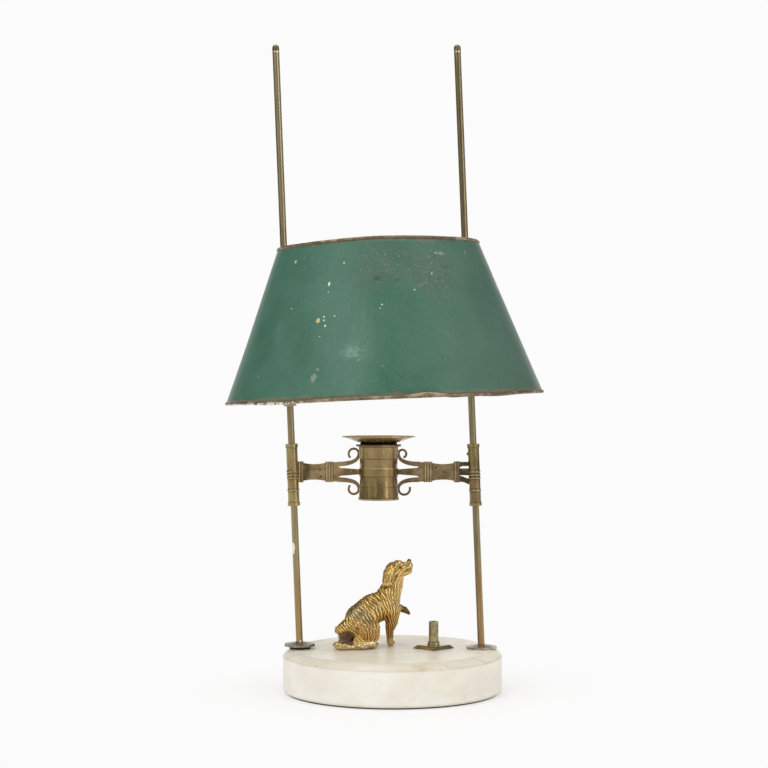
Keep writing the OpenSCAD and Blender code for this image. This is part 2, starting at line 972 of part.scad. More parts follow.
module shade_shell() {
    color("seagreen")
        at_shade()
            rotate_extrude()
                difference() {
                    polygon([[shade_low_r - shade_half_t, 0], [shade_low_r + shade_half_t, 0],
                        [shade_top_r + shade_half_t, shade_h], [shade_top_r - shade_half_t, shade_h]]);
                    translate([shade_low_r, 0])
                        circle(r = wire_r + solder);
                    translate([shade_top_r, shade_h])
                        circle(r = wire_r + solder);
                }
}

module rim_wire(r, h) {
    color("sienna")
        at_shade()
            translate([0, 0, h])
                rotate_extrude()
                    translate([r, 0])
                        circle(r = wire_r);
}

module shade_top_wire() {
    rim_wire(shade_top_r, shade_h);
}

module shade_bottom_wire() {
    rim_wire(shade_low_r, 0);
}

// Lap strip of the seam, down the back of the shade
module shade_seam() {
    low = wire_d;
    high = shade_h - wire_d;
    near = shade_half_t + solder;
    far = near + shade_t;
    color("seagreen")
        at_shade()
            intersection() {
                rotate_extrude()
                    polygon([[shade_mid_r(low) + near, low], [shade_mid_r(low) + far, low],
                        [shade_mid_r(high) + far, high], [shade_mid_r(high) + near, high]]);
                translate([-seam_w / 2, 0, 0])
                    cube([seam_w, shade_low_r + 10, shade_h]);
            }
}

module guide(side) {
    len = guide_high - guide_low(side);
    color("darkkhaki")
        at_guide(side)
            difference() {
                rotate_extrude()
                    difference() {
                        tube_outline(len);
                        translate([0, -1])
                            square([tube_bore_r, len + 2]);
                    }
                rivet_hole(90, len / 2 + rivet_up);
            }
}

module guide_left() {
    guide(-1);
}

module guide_right() {
    guide(1);
}

module guide_bushes() {
    color("burlywood")
        for (side = [-1, 1])
            at_guide(side) {
                bush(0);
                bush(guide_high - guide_low(side) - bush_len);
            }
}

module guide_springs() {
    color("silver")
        for (side = [-1, 1])
            at_guide(side)
                leaf_spring(90, (guide_high - guide_low(side)) / 2);
}

module guide_rivets() {
    color("goldenrod")
        for (side = [-1, 1])
            at_guide(side)
                spring_rivet(90, (guide_high - guide_low(side)) / 2);
}

// Space inside the shell, short of the sheet by a film of solder
module shade_space() {
    at_shade()
        cylinder(r1 = shade_low_r - shade_half_t - solder, r2 = shade_top_r - shade_half_t - solder,
            h = shade_h);
}

// Bar from a guide out to the shell, from one height above the shade's edge to another
module guide_bar(side, low, high, w) {
    difference() {
        intersection() {
            between_rods()
                translate([side > 0 ? rod_half : -rod_half - 100, -w / 2, shade_up + low])
                    cube([100, w, high - low]);
            shade_space();
        }
        at_guide(side)
            translate([0, 0, -20])
                cylinder(r = tube_r + solder, h = shade_h + 40);
    }
}

module guide_lugs() {
    high = shade_h - guide_top_gap - lip_h - 1;
    color("darkkhaki")
        for (side = [-1, 1])
            guide_bar(side, high - lug_h, high, lug_w);
}

module guide_stays() {
    low = right_guide_rise + lip_h + 2;
    color("darkkhaki")
        for (side = [-1, 1])
            guide_bar(side, low, low + stay_t, stay_w);
}

marble_base();
base_baize();
rod_left();
rod_right();
finial_left();
finial_right();
finial_collars();
rosette_left();
rosette_right();
foot_washer_left();
rod_washers();
rod_nuts();
dog_figure();
dog_stud();
dog_nut();
plinth_plate();
plinth_tube();
plinth_nut();
sleeve_left();
sleeve_right();
sleeve_bushes();
sleeve_springs();
sleeve_rivets();
arm_left();
arm_right();
arm_rivets();
socket_tube();
socket_band();
socket_floor();
drip_pan();
pan_nozzle();
shade_shell();
shade_top_wire();
shade_bottom_wire();
shade_seam();
guide_left();
guide_right();
guide_bushes();
guide_springs();
guide_rivets();
guide_lugs();
guide_stays();
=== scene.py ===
"""Reading candle holder: a marble foot, two leaning brass rods, a sliding candle
socket with scrolled arms, a lift-out drip pan, a green sheet-metal shade and a
gilt dog. Lengths are in metres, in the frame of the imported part."""

import json
import math

import bmesh
import bpy
import numpy as np
from mathutils import Matrix, Vector, kdtree

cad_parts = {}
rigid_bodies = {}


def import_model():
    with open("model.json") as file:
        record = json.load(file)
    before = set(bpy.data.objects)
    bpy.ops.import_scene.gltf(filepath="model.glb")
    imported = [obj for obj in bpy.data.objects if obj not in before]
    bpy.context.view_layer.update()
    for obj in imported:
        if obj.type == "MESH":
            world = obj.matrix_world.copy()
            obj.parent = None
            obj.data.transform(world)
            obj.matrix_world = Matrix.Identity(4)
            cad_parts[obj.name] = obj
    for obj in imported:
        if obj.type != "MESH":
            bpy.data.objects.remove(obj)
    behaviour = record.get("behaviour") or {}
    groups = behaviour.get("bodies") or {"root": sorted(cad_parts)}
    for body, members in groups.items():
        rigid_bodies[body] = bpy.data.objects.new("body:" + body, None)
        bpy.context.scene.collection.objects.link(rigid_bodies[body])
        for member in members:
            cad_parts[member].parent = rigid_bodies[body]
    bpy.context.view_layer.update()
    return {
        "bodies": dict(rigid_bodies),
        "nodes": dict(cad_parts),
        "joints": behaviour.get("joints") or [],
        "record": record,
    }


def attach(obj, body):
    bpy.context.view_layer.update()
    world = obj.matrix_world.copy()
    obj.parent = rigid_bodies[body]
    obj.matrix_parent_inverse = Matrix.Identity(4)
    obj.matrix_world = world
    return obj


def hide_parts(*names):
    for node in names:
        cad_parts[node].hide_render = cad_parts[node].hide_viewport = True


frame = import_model()
solid = frame["nodes"]
MM = 0.001

# Sizes shared with the part's source, in millimetres.
BASE_R = 83.0
MARBLE_H = 31.2
BAIZE_T = 1.1
BAIZE_INSET = 2.5
BASE_TOP = MARBLE_H + BAIZE_T
ROD_MID_X = -1.5
LEAN = math.radians(2.3)
SHADE_UP = 190.4
SHADE_H = 114.6
SHADE_LOW_R = 119.7
SHADE_TOP_R = 76.0
SHADE_SHIFT = 2.9
SHEET_T = 0.7
WIRE_R = 1.2
DOG_X = -26.6
DOG_TURN = math.radians(22)
DOG_SCALE = 0.991
NECK_X = 30
SOCKET_X = -10.578
SLEEVE_Z = 164.2

# Places of the dog, its head and the shade.
DOG_PLACE = (Matrix.Translation(Vector((DOG_X, 0, BASE_TOP)) * MM) @ Matrix.Rotation(DOG_TURN, 4, "Z")
             @ Matrix.Scale(DOG_SCALE * MM, 4))
HEAD_PLACE = Matrix.Translation((NECK_X, 0, 0)) @ Matrix.Rotation(-DOG_TURN, 4, "Z")
SHADE_FRAME = (Matrix.Translation(Vector((ROD_MID_X, 0, BASE_TOP)) * MM) @ Matrix.Rotation(-LEAN, 4, "Y")
               @ Matrix.Translation(Vector((SHADE_SHIFT, 0, SHADE_UP)) * MM))

# Knocks in the shade. The crease at the front: degrees, half its span, depth in millimetres.
CREASE_AT, CREASE_SPAN, CREASE_DEPTH = -3.5, 34, 0.75
# Dents: degrees from the front, breadth, share of the height, spread, depth in millimetres.
DENTS = [
    (62, 20, 0.55, 0.4, 0.9), (-74, 24, 0.4, 0.35, 0.7), (150, 22, 0.5, 0.4, 0.8),
    (-150, 22, 0.5, 0.4, 0.8),
]
# Waves of the edges, which die out over a share of the height: degrees, breadth, rise in millimetres.
WAVE_REACH = 0.2
LOW_WAVES = [(15, 5, 1.7), (24, 6, -0.7), (42, 9, -0.9), (-40, 12, -0.9), (130, 14, 0.8), (-140, 16, -0.6)]
TOP_WAVES = [(0, 16, 0.3), (-45, 20, -0.6), (40, 14, -0.4), (150, 30, -0.6)]


def bell(value, middle, width):
    return math.exp(-((value - middle) / width) ** 2)


def dented(point):
    """A point of the shade, in its own frame, after years of knocks."""
    angle = math.degrees(math.atan2(point.x, -point.y))
    up = point.z / (SHADE_H * MM)
    crease = abs(angle - CREASE_AT)
    inward = CREASE_DEPTH * math.sin(math.pi * min(crease, CREASE_SPAN) / CREASE_SPAN)
    inward *= 1 - 0.4 * bell(crease, 0, 3)
    for place, breadth, height, spread, depth in DENTS:
        inward += depth * bell(angle, place, breadth) * bell(up, height, spread)
    rise = 0.0
    for waves, away in ((LOW_WAVES, up), (TOP_WAVES, 1 - up)):
        fade = max(0.0, 1 - away / WAVE_REACH)
        rise += fade * sum(high * bell(angle, place, breadth) for place, breadth, high in waves)
    share = 1 - inward * MM / math.hypot(point.x, point.y)
    return Vector((point.x * share, point.y * share, point.z + rise * MM))


def shade_spot(angle, up):
    """Where a mark on the shade lies: degrees from the front, millimetres above the lower edge."""
    far = SHADE_LOW_R + (SHADE_TOP_R - SHADE_LOW_R) * up / SHADE_H
    turn = math.radians(angle)
    return SHADE_FRAME @ dented(Vector((far * math.sin(turn), -far * math.cos(turn), up)) * MM)


# Node helpers. A value they take is a socket to join or a number to set.

def srgb(red, green, blue):
    """A colour read off a screen, 0 to 255, as the linear colour a shader takes."""
    out = []
    for part in (red, green, blue):
        c = part / 255
        out.append(c / 12.92 if c <= 0.04045 else ((c + 0.055) / 1.055) ** 2.4)
    return (*out, 1.0)


def feed(tree, socket, value):
    if isinstance(value, bpy.types.NodeSocket):
        tree.links.new(value, socket)
    else:
        socket.default_value = value


def put(tree, kind, inputs=None, **settings):
    """Adds a node, sets it, and joins or fills its inputs."""
    made = tree.nodes.new(kind)
    for name, value in settings.items():
        setattr(made, name, value)
    for name, value in (inputs or {}).items():
        feed(tree, made.inputs[name], value)
    return made


def blend_colours(tree, factor, first, second):
    made = put(tree, "ShaderNodeMix", data_type="RGBA")
    feed(tree, made.inputs[0], factor)
    feed(tree, made.inputs[6], first)
    feed(tree, made.inputs[7], second)
    return made.outputs[2]


def sums(tree, how, first, second=0.0, clamp=False):
    made = put(tree, "ShaderNodeMath", operation=how, use_clamp=clamp)
    feed(tree, made.inputs[0], first)
    feed(tree, made.inputs[1], second)
    return made.outputs[0]


def times(tree, first, second):
    return sums(tree, "MULTIPLY", first, second)


def plus(tree, first, second, clamp=False):
    return sums(tree, "ADD", first, second, clamp)


def minus(tree, first, second):
    return sums(tree, "SUBTRACT", first, second)


def most(tree, first, second):
    return sums(tree, "MAXIMUM", first, second)


def stain(tree, tone, colour, mask, amount=None):
    """Lays a colour over a tone where a mask says, by an amount if there is one."""
    return blend_colours(tree, mask if amount is None else times(tree, mask, amount), tone, colour)


def vectors(tree, how, first, second=None):
    made = put(tree, "ShaderNodeVectorMath", {0: first}, operation=how)
    if second is not None:
        feed(tree, made.inputs[1], second)
    return made.outputs["Value" if how in ("LENGTH", "DOT_PRODUCT") else "Vector"]


def ramp(tree, value, low, high, to_low=0.0, to_high=1.0):
    made = put(tree, "ShaderNodeMapRange", interpolation_type="SMOOTHSTEP")
    feed(tree, made.inputs[0], value)
    for place, number in zip((1, 2, 3, 4), (low, high, to_low, to_high)):
        feed(tree, made.inputs[place], number)
    return made.outputs[0]


def cloud(tree, where, scale, detail=4.0, rough=0.55, warp=0.0):
    made = put(tree, "ShaderNodeTexNoise", {"Vector": where, "Scale": scale, "Detail": detail,
                                           "Roughness": rough, "Distortion": warp})
    return made.outputs["Fac"]


def stretched(tree, where, scale=(1, 1, 1), turn=(0, 0, 0), shift=(0, 0, 0)):
    made = put(tree, "ShaderNodeMapping", {"Vector": where, "Scale": scale, "Rotation": turn,
                                          "Location": shift})
    return made.outputs[0]


def axis_of(tree, where, letter):
    return put(tree, "ShaderNodeSeparateXYZ", {"Vector": where}).outputs[letter]


def new_material(name):
    made = bpy.data.materials.new(name)
    made.use_nodes = True
    tree = made.node_tree
    skin = tree.nodes["Principled BSDF"]
    where = put(tree, "ShaderNodeTexCoord").outputs["Object"]
    return made, tree, skin, where


def dress(tree, skin, colour, roughness, metal=0.0):
    for name, value in (("Base Color", colour), ("Roughness", roughness), ("Metallic", metal)):
        feed(tree, skin.inputs[name], value)


def bumped(tree, skin, height, strength, distance):
    made = put(tree, "ShaderNodeBump", {"Height": height, "Strength": strength, "Distance": distance})
    feed(tree, skin.inputs["Normal"], made.outputs[0])


# Node groups that several materials share.

VECTOR, COLOUR, VALUE = "NodeSocketVector", "NodeSocketColor", "NodeSocketFloat"


def new_group(name, takes, gives):
    tree = bpy.data.node_groups.new(name, "ShaderNodeTree")
    for way, sockets in (("INPUT", takes), ("OUTPUT", gives)):
        for label, kind in sockets.items():
            tree.interface.new_socket(name=label, in_out=way, socket_type=kind)
    return tree, tree.nodes.new("NodeGroupInput").outputs, tree.nodes.new("NodeGroupOutput").inputs


def aged_metal_group():
    """Brass gone dull: dark and light clouds, specks, pits, rosy and olive drifts, a little green bloom."""
    tree, takes, gives = new_group(
        "aged_metal",
        {"Where": VECTOR, "Dark": COLOUR, "Middle": COLOUR, "Light": COLOUR, "Bloom": COLOUR,
         "Bloom Amount": VALUE, "Cloud Scale": VALUE, "Gloss": VALUE},
        {"Colour": COLOUR, "Roughness": VALUE, "Height": VALUE})
    where, scale = takes["Where"], takes["Cloud Scale"]
    broad = cloud(tree, where, scale, 4, 0.6, 0.6)
    fine = cloud(tree, where, times(tree, scale, 7.0), 2, 0.55)
    specks = cloud(tree, where, times(tree, scale, 20.0), 1, 0.6)
    tone = blend_colours(tree, ramp(tree, broad, 0.26, 0.66), takes["Dark"], takes["Middle"])
    tone = stain(tree, tone, takes["Light"], ramp(tree, fine, 0.44, 0.74), 0.3)
    pits = ramp(tree, specks, 0.36, 0.30)
    tone = stain(tree, tone, takes["Dark"], pits, 0.15)
    drift = cloud(tree, where, times(tree, scale, 1.6), 3, 0.55, 0.8)
    hue = ramp(tree, drift, 0.34, 0.66, 0.487, 0.513)
    tone = put(tree, "ShaderNodeHueSaturation", {"Hue": hue, "Color": tone}).outputs[0]
    bloom = ramp(tree, cloud(tree, where, times(tree, scale, 2.3), 4, 0.65), 0.58, 0.72)
    tone = stain(tree, tone, takes["Bloom"], bloom, takes["Bloom Amount"])
    dull = plus(tree, takes["Gloss"], times(tree, ramp(tree, fine, 0.3, 0.7), 0.08))
    dull = plus(tree, dull, times(tree, bloom, takes["Bloom Amount"]), clamp=True)
    feed(tree, gives["Colour"], tone)
    feed(tree, gives["Roughness"], dull)
    feed(tree, gives["Height"], minus(tree, times(tree, fine, 0.5), pits))
    return tree


def spot_group():
    """A ragged spot round one point of the surface, as a chip or a soft rub."""
    tree, takes, gives = new_group(
        "ragged_spot",
        {"Where": VECTOR, "Centre": VECTOR, "Stretch": VECTOR,
         "Size": VALUE, "Softness": VALUE, "Ragged": VALUE},
        {"Mask": VALUE})
    where, size, soft = takes["Where"], takes["Size"], takes["Softness"]
    away = vectors(tree, "DIVIDE", vectors(tree, "SUBTRACT", where, takes["Centre"]), takes["Stretch"])
    rough = cloud(tree, where, sums(tree, "DIVIDE", 1.3, size), 4, 0.65)
    rough = times(tree, minus(tree, rough, 0.5), takes["Ragged"])
    share = plus(tree, sums(tree, "DIVIDE", vectors(tree, "LENGTH", away), size), times(tree, rough, 2.0))
    feed(tree, gives["Mask"], ramp(tree, share, plus(tree, 1.0, soft), minus(tree, 1.0, soft)))
    return tree


AGED_METAL = aged_metal_group()
RAGGED_SPOT = spot_group()


def aged(tree, where, dark, middle, light, bloom, bloom_amount, scale, gloss):
    return put(tree, "ShaderNodeGroup", {
        "Where": where, "Dark": dark, "Middle": middle, "Light": light, "Bloom": bloom,
        "Bloom Amount": bloom_amount, "Cloud Scale": scale, "Gloss": gloss}, node_tree=AGED_METAL).outputs


def spot(tree, where, centre, size, stretch, softness, ragged):
    return put(tree, "ShaderNodeGroup", {
        "Where": where, "Centre": centre, "Stretch": stretch, "Size": size, "Softness": softness,
        "Ragged": ragged}, node_tree=RAGGED_SPOT).outputs["Mask"]


# Materials. Colours are 0 to 255 as on a screen, and a ramp's edges on a place are in metres.

GREEN_BLOOM = (112, 122, 92)
GREY_BLOOM = (120, 116, 88)
# The colour of painted highlights on brass.
HIGHLIGHT_BRASS = (222, 200, 152)
# The colour of old polish and dust on brass, also used for painted shadows.
OLD_POLISH_AND_SHADE = (46, 37, 26)


def bands(tree, value, places):
    """A mask where a coordinate is near one of some places: place and half width in millimetres, amount."""
    whole = None
    for place, half, amount in places:
        off = sums(tree, "ABSOLUTE", minus(tree, value, place * MM))
        band = times(tree, ramp(tree, off, half * MM, 0.25 * half * MM), amount)
        whole = band if whole is None else most(tree, whole, band)
    return whole


def brass_material(name, dark, middle, light, gloss, scale, stretch=(1, 1, 1), bloom=0.0, metal=0.9,
                   axis=None, shine=(), grime_and_shade=()):
    """Aged brass; along one axis it may have bands of painted highlights, and bands of old polish and dust
    that also carry painted shadows.
    """
    made, tree, skin, where = new_material(name)
    got = aged(tree, stretched(tree, where, stretch), srgb(*dark), srgb(*middle), srgb(*light),
               srgb(*GREEN_BLOOM), bloom, scale, gloss)
    tone, dull = got["Colour"], got["Roughness"]
    if axis:
        along = axis_of(tree, where, axis)
        patchy = ramp(tree, cloud(tree, where, 180, 3, 0.6), 0.3, 0.6, 0.35, 0.9)
    if shine:
        tone = stain(tree, tone, srgb(*HIGHLIGHT_BRASS), bands(tree, along, shine), patchy)
    if grime_and_shade:
        dirt_and_shade = bands(tree, along, grime_and_shade)
        tone = stain(tree, tone, srgb(*OLD_POLISH_AND_SHADE), dirt_and_shade, patchy)
        dull = plus(tree, dull, times(tree, dirt_and_shade, 0.3), clamp=True)
    dress(tree, skin, tone, dull, metal)
    bumped(tree, skin, got["Height"], 0.012, 0.0002)
    return made


# Pale spots on the left rod: place in metres, size, shares of it along the axes, softness, raggedness.
ROD_PALE_SPOTS = [((-0.0757, -0.0026, 0.1085), 0.0032, (0.5, 0.8, 1.4), 0.2, 0.5),
             ((-0.0699, -0.0026, 0.0378), 0.0011, (0.7, 1, 1.3), 0.3, 0.6)]


def rod_material(name, shade):
    """Dull olive brass, drawn along its length, coppery towards the foot; shade darkens the whole, as painted
    shade for a rod in less light.
    """
    made, tree, skin, where = new_material(name)
    along = stretched(tree, stretched(tree, where, turn=(0, LEAN, 0)), (1, 1, 0.03))

    def drawn(tones, part, bloom):
        share = 1 - (1 - shade) * part
        dimmed = [srgb(*(number * share for number in tone)) for tone in tones]
        return aged(tree, along, *dimmed, srgb(*GREY_BLOOM), bloom, 160, 0.2)

    olive = drawn([(106, 96, 70), (160, 146, 110), (204, 188, 146)], 1.0, 0.1)
    copper = drawn([(100, 78, 48), (164, 134, 94), (210, 180, 136)], 0.4, 0.0)
    low = ramp(tree, axis_of(tree, where, "Z"), 0.125, 0.07)
    tone = blend_colours(tree, low, olive["Colour"], copper["Colour"])
    # Pale spots, less metallic and rougher.
    chip = most(tree, *(spot(tree, where, *row) for row in ROD_PALE_SPOTS))
    tone = stain(tree, tone, srgb(232, 224, 210), chip)
    dull = plus(tree, olive["Roughness"], times(tree, chip, 0.3), clamp=True)
    dress(tree, skin, tone, dull, times(tree, minus(tree, 1.0, chip), 0.9))
    return made


def marble_material():
    """Warm white marble: soft clouds, tea stains, darker lines along both edges of the bevel, a few dark
    pits, and a top and bevel toned partly as painted light and shade.
    """
    made, tree, skin, where = new_material("white_marble")
    broad = cloud(tree, stretched(tree, where, (1, 1, 2.0)), 20, 5, 0.55, 0.6)
    tone = blend_colours(tree, ramp(tree, broad, 0.34, 0.66), srgb(238, 235, 226), srgb(230, 224, 210))
    drift = cloud(tree, stretched(tree, where, (1, 1.6, 1.0), (0, 0, 0.6)), 9, 4, 0.5, 1.2)
    vein = ramp(tree, sums(tree, "ABSOLUTE", minus(tree, drift, 0.5)), 0.02, 0.0)
    tone = stain(tree, tone, srgb(196, 186, 168), vein, 0.07)
    up = axis_of(tree, where, "Z")
    far = vectors(tree, "LENGTH", vectors(tree, "MULTIPLY", where, (1, 1, 0)))
    top = times(tree, ramp(tree, far, 0.0752, 0.0742), ramp(tree, up, 0.030, 0.032))
    # The top face is tinted lighter and warmer: partly its own warmer tone, partly painted light on the top.
    tone = stain(tree, tone, srgb(246, 236, 208), top, 0.25)
    bevel = times(tree, ramp(tree, up, 0.0264, 0.0284), minus(tree, 1.0, top))
    upper = most(tree, top, bevel)
    tea = stretched(tree, where, (0.7, 1.5, 1.6), (0, 0, 0.2), (0.3, 0.1, 0))
    tea = cloud(tree, tea, 34, 5, 0.62, 0.9)
    much = plus(tree, times(tree, upper, 0.3), 0.2)
    tone = stain(tree, tone, srgb(228, 210, 162), ramp(tree, tea, 0.5, 0.72), much)
    # The bevel gets a patchy darker, creamier tone: partly its own tan patches, partly painted shade that
    # darkens the bevel the lamps light most.
    cream = ramp(tree, cloud(tree, where, 30, 4, 0.6, 0.4), 0.32, 0.66, 0.22, 0.72)
    tone = stain(tree, tone, srgb(214, 204, 182), bevel, cream)
    rust = stretched(tree, where, (0.6, 1.4, 1.2), (0, 0, 0.3), (0.7, 0.4, 0.2))
    rust = cloud(tree, rust, 62, 5, 0.62, 0.8)
    much = plus(tree, times(tree, upper, 0.42), 0.1)
    tone = stain(tree, tone, srgb(190, 156, 104), ramp(tree, rust, 0.54, 0.73), much)
    patchy = ramp(tree, cloud(tree, where, 40, 4, 0.6), 0.3, 0.65, 0.25, 1.0)
    low_edge = bands(tree, up, [(27.5, 1.1, 0.3)])
    high_edge = times(tree, bands(tree, far, [(74.6, 1.2, 0.16)]), ramp(tree, up, 0.03, 0.031))
    tone = stain(tree, tone, srgb(164, 146, 112), most(tree, low_edge, high_edge), patchy)
    pit = ramp(tree, cloud(tree, where, 800, 2, 0.5), 0.25, 0.2)
    tone = stain(tree, tone, srgb(120, 104, 80), pit, 0.5)
    foot = times(tree, ramp(tree, up, 0.0042, 0.0012), patchy)
    tone = stain(tree, tone, srgb(178, 164, 132), foot, 0.3)
    dress(tree, skin, tone, ramp(tree, cloud(tree, where, 60, 4), 0.3, 0.7, 0.3, 0.46))
    skin.inputs["Subsurface Weight"].default_value = 0.08
    skin.inputs["Subsurface Radius"].default_value = (0.004, 0.0035, 0.003)
    bumped(tree, skin, minus(tree, cloud(tree, where, 260, 5, 0.6), pit), 0.12, 0.0003)
    return made


# Marks in the dog's gilding, and painted shade in the hollow under the tail, in its own millimetres: x, y, z,
# size, and shares of it along the axes.
LOIN_RUB = (-4, -6, 29.5, 7.5)
GROUND_RUB = (5, -10, 2.0, 5, (1.4, 1, 0.6))
FLANK_RUB = (4, -11, 21, 4.5, (0.8, 1, 1.6))
BELLY_BROWN = (18, -6, 21.5, 6, (1.3, 1, 0.8))
LEG_BROWN = (27, -2, 12, 8, (0.7, 1, 1.3))
THIGH_BROWN = (8, -12, 14, 8)
TAIL_HOLLOW_SHADE = (-9, -1.5, 8.6)
RAISED_PAW = (41.5, 5.4, 27, 6.5)
NOSE_TIP = (41.2, -4.6, 66.6, 1.9)
EYE_HOLLOW = (5.2, 4.8, 61.0)


def gilt_material():
    """Worn gilding: bright on the locks, brown in the hollows, grey where it is rubbed through, with painted
    shade in the cut grooves and in the hollow under the tail.
    """
    made, tree, skin, where = new_material("worn_gilt")

    def near(x, y, z, size, stretch=(1, 1, 1)):
        return spot(tree, where, DOG_PLACE @ Vector((x, y, z)), size * MM, stretch, 0.5, 0.6)

    relief = put(tree, "ShaderNodeAttribute", attribute_name="relief").outputs["Fac"]
    fine = cloud(tree, where, 520, 4, 0.6)
    lift = plus(tree, relief, times(tree, minus(tree, fine, 0.5), 0.35))
    tone = blend_colours(tree, ramp(tree, lift, 0.0, 0.45), srgb(140, 105, 56), srgb(196, 155, 86))
    tone = stain(tree, tone, srgb(252, 224, 150), ramp(tree, lift, 0.55, 1.0))
    grey = blend_colours(tree, ramp(tree, lift, 0.15, 0.95), srgb(122, 109, 80), srgb(186, 172, 130))
    broad = cloud(tree, stretched(tree, where, shift=(0.13, 0.0, 0.05)), 95, 4, 0.55, 0.5)
    rubbed = most(tree, most(tree, near(*LOIN_RUB), near(*GROUND_RUB)), near(*FLANK_RUB))
    rubbed = most(tree, times(tree, rubbed, 0.8), ramp(tree, broad, 0.5, 0.66, 0, 0.45))
    tone = stain(tree, tone, grey, rubbed)
    warm = blend_colours(tree, ramp(tree, lift, 0.1, 0.9), srgb(96, 58, 26), srgb(196, 142, 80))
    tone = stain(tree, tone, warm, most(tree, near(*BELLY_BROWN), near(*LEG_BROWN)), 0.7)
    tone = stain(tree, tone, warm, near(*THIGH_BROWN), 0.4)
    low = ramp(tree, axis_of(tree, where, "Z"), 0.0392, 0.0372)
    tone = stain(tree, tone, srgb(226, 214, 178), low, ramp(tree, fine, 0.3, 0.65, 0.1, 0.6))
    # Painted shade: the hollow under the tail is painted dark brown, duller and less metallic.
    hollow = spot(tree, where, DOG_PLACE @ Vector(TAIL_HOLLOW_SHADE), 6.2 * MM, (1, 1, 0.75), 0.4, 0.1)
    tone = stain(tree, tone, srgb(104, 80, 64), hollow, 0.95)
    dark = most(tree, times(tree, near(*RAISED_PAW), 0.8), near(*NOSE_TIP))
    tone = stain(tree, tone, srgb(70, 52, 42), dark)
    eye = near(*(HEAD_PLACE @ Matrix.Diagonal((1, -1, 1, 1)) @ Vector(EYE_HOLLOW)), 1.7)
    tone = stain(tree, tone, srgb(132, 78, 42), eye, 0.6)
    dull = plus(tree, ramp(tree, lift, 0.1, 0.9, 0.44, 0.22), times(tree, hollow, 0.35))
    dress(tree, skin, tone, dull, minus(tree, 0.9, times(tree, hollow, 0.6)))
    bumped(tree, skin, cloud(tree, where, 1300, 3, 0.6), 0.08, 0.0002)
    return made


# Marks in the shade's paint: degrees from the front, millimetres up, size, breadth and height shares. The
# sheen marks and the front haze marks are painted sheen; the rest are the paint's own chips, rubs and spots.
PALE_CHIPS = [
    (-24.3, 82.2, 1.1, 0.8, 1.9), (-24.7, 58.9, 0.7, 1, 1.1), (-24.5, 56.3, 0.7, 1, 1),
    (-23.7, 52.3, 0.8, 1, 1.2), (-19.9, 59.1, 0.6, 1, 1), (-24.2, 70.0, 0.4, 1, 1),
    (-42.2, 103.7, 0.45, 1, 1), (-17.7, 97.4, 0.6, 1.2, 1), (-42.8, 66.5, 0.6, 1, 1),
    (-25.5, 44.9, 0.5, 1, 1), (25.7, 87.3, 0.6, 1, 1), (30.5, 102.7, 0.6, 1, 1), (26.1, 99.3, 0.45, 1, 1),
    (15.7, 75.5, 0.6, 1, 1), (56.5, 78.5, 0.5, 1, 1), (-0.3, 62.9, 0.5, 1, 1), (0.6, 65.7, 0.5, 1.5, 0.8),
    (0.0, 22.0, 0.45, 0.8, 1.5), (-53.3, 18.7, 0.5, 1, 1), (-24.2, 76.5, 0.45, 1, 1.4),
    (-48.2, 101.8, 0.7, 1, 1.2), (118, 70, 0.9, 1, 1.3), (150, 40, 0.7, 1, 1), (-130, 85, 1.0, 1.3, 1),
    (-160, 25, 0.8, 1, 1), (84, 30, 0.6, 1, 1),
]
TAN_CHIPS = [(-27.3, 56.3, 1.5, 1, 1.2), (140, 60, 1.6, 1, 1.2)]
FAINT_CHIPS = [
    (-25.8, 15.3, 2.2, 0.9, 1.6), (-24.5, 21.5, 0.9, 1.2, 1), (-48.4, 101.5, 1.4, 1, 1.1),
    (52, 104, 1.2, 1, 1), (33.5, 102.5, 1.6, 1.8, 0.8),
]
SHEEN_MARKS = [(-11.2, 33.0, 5.5, 1.1, 0.8)]
HAZE_AND_SHEEN = [
    (-10.0, 40.0, 17, 0.9, 2.4), (-8.0, 42.0, 6, 0.8, 1.8), (-47.0, 50.0, 6, 0.7, 3.4),
    (-11.0, 10.0, 7, 0.9, 1.0), (130, 40, 16, 1, 1), (100, 60, 9, 1, 1.5),
]
RUBBED = [
    (-2.0, 92.0, 15, 1.1, 1.0), (28.0, 90.0, 20, 1.0, 1.0), (10.0, 98.0, 15, 1.6, 0.7),
    (165, 80, 22, 1.2, 1),
]
DARK_SPOTS = [(-1.4, 84.7, 2.2, 1.3, 0.9), (8.0, 83.0, 1.4, 1, 1), (34.0, 92.0, 1.2, 1, 1)]


def marks(tree, where, places, softness, ragged):
    """One mask for a list of marks."""
    whole = None
    for angle, up, size, broad, tall in places:
        mask = spot(tree, where, shade_spot(angle, up), size * MM, (broad, broad, tall), softness, ragged)
        whole = mask if whole is None else most(tree, whole, mask)
    return whole


def shade_height(tree, where):
    """Height above the shade's lower edge, along its own axis."""
    away = vectors(tree, "SUBTRACT", where, SHADE_FRAME @ Vector((0, 0, 0)))
    return vectors(tree, "DOT_PRODUCT", away, (-math.sin(LEAN), 0, math.cos(LEAN)))


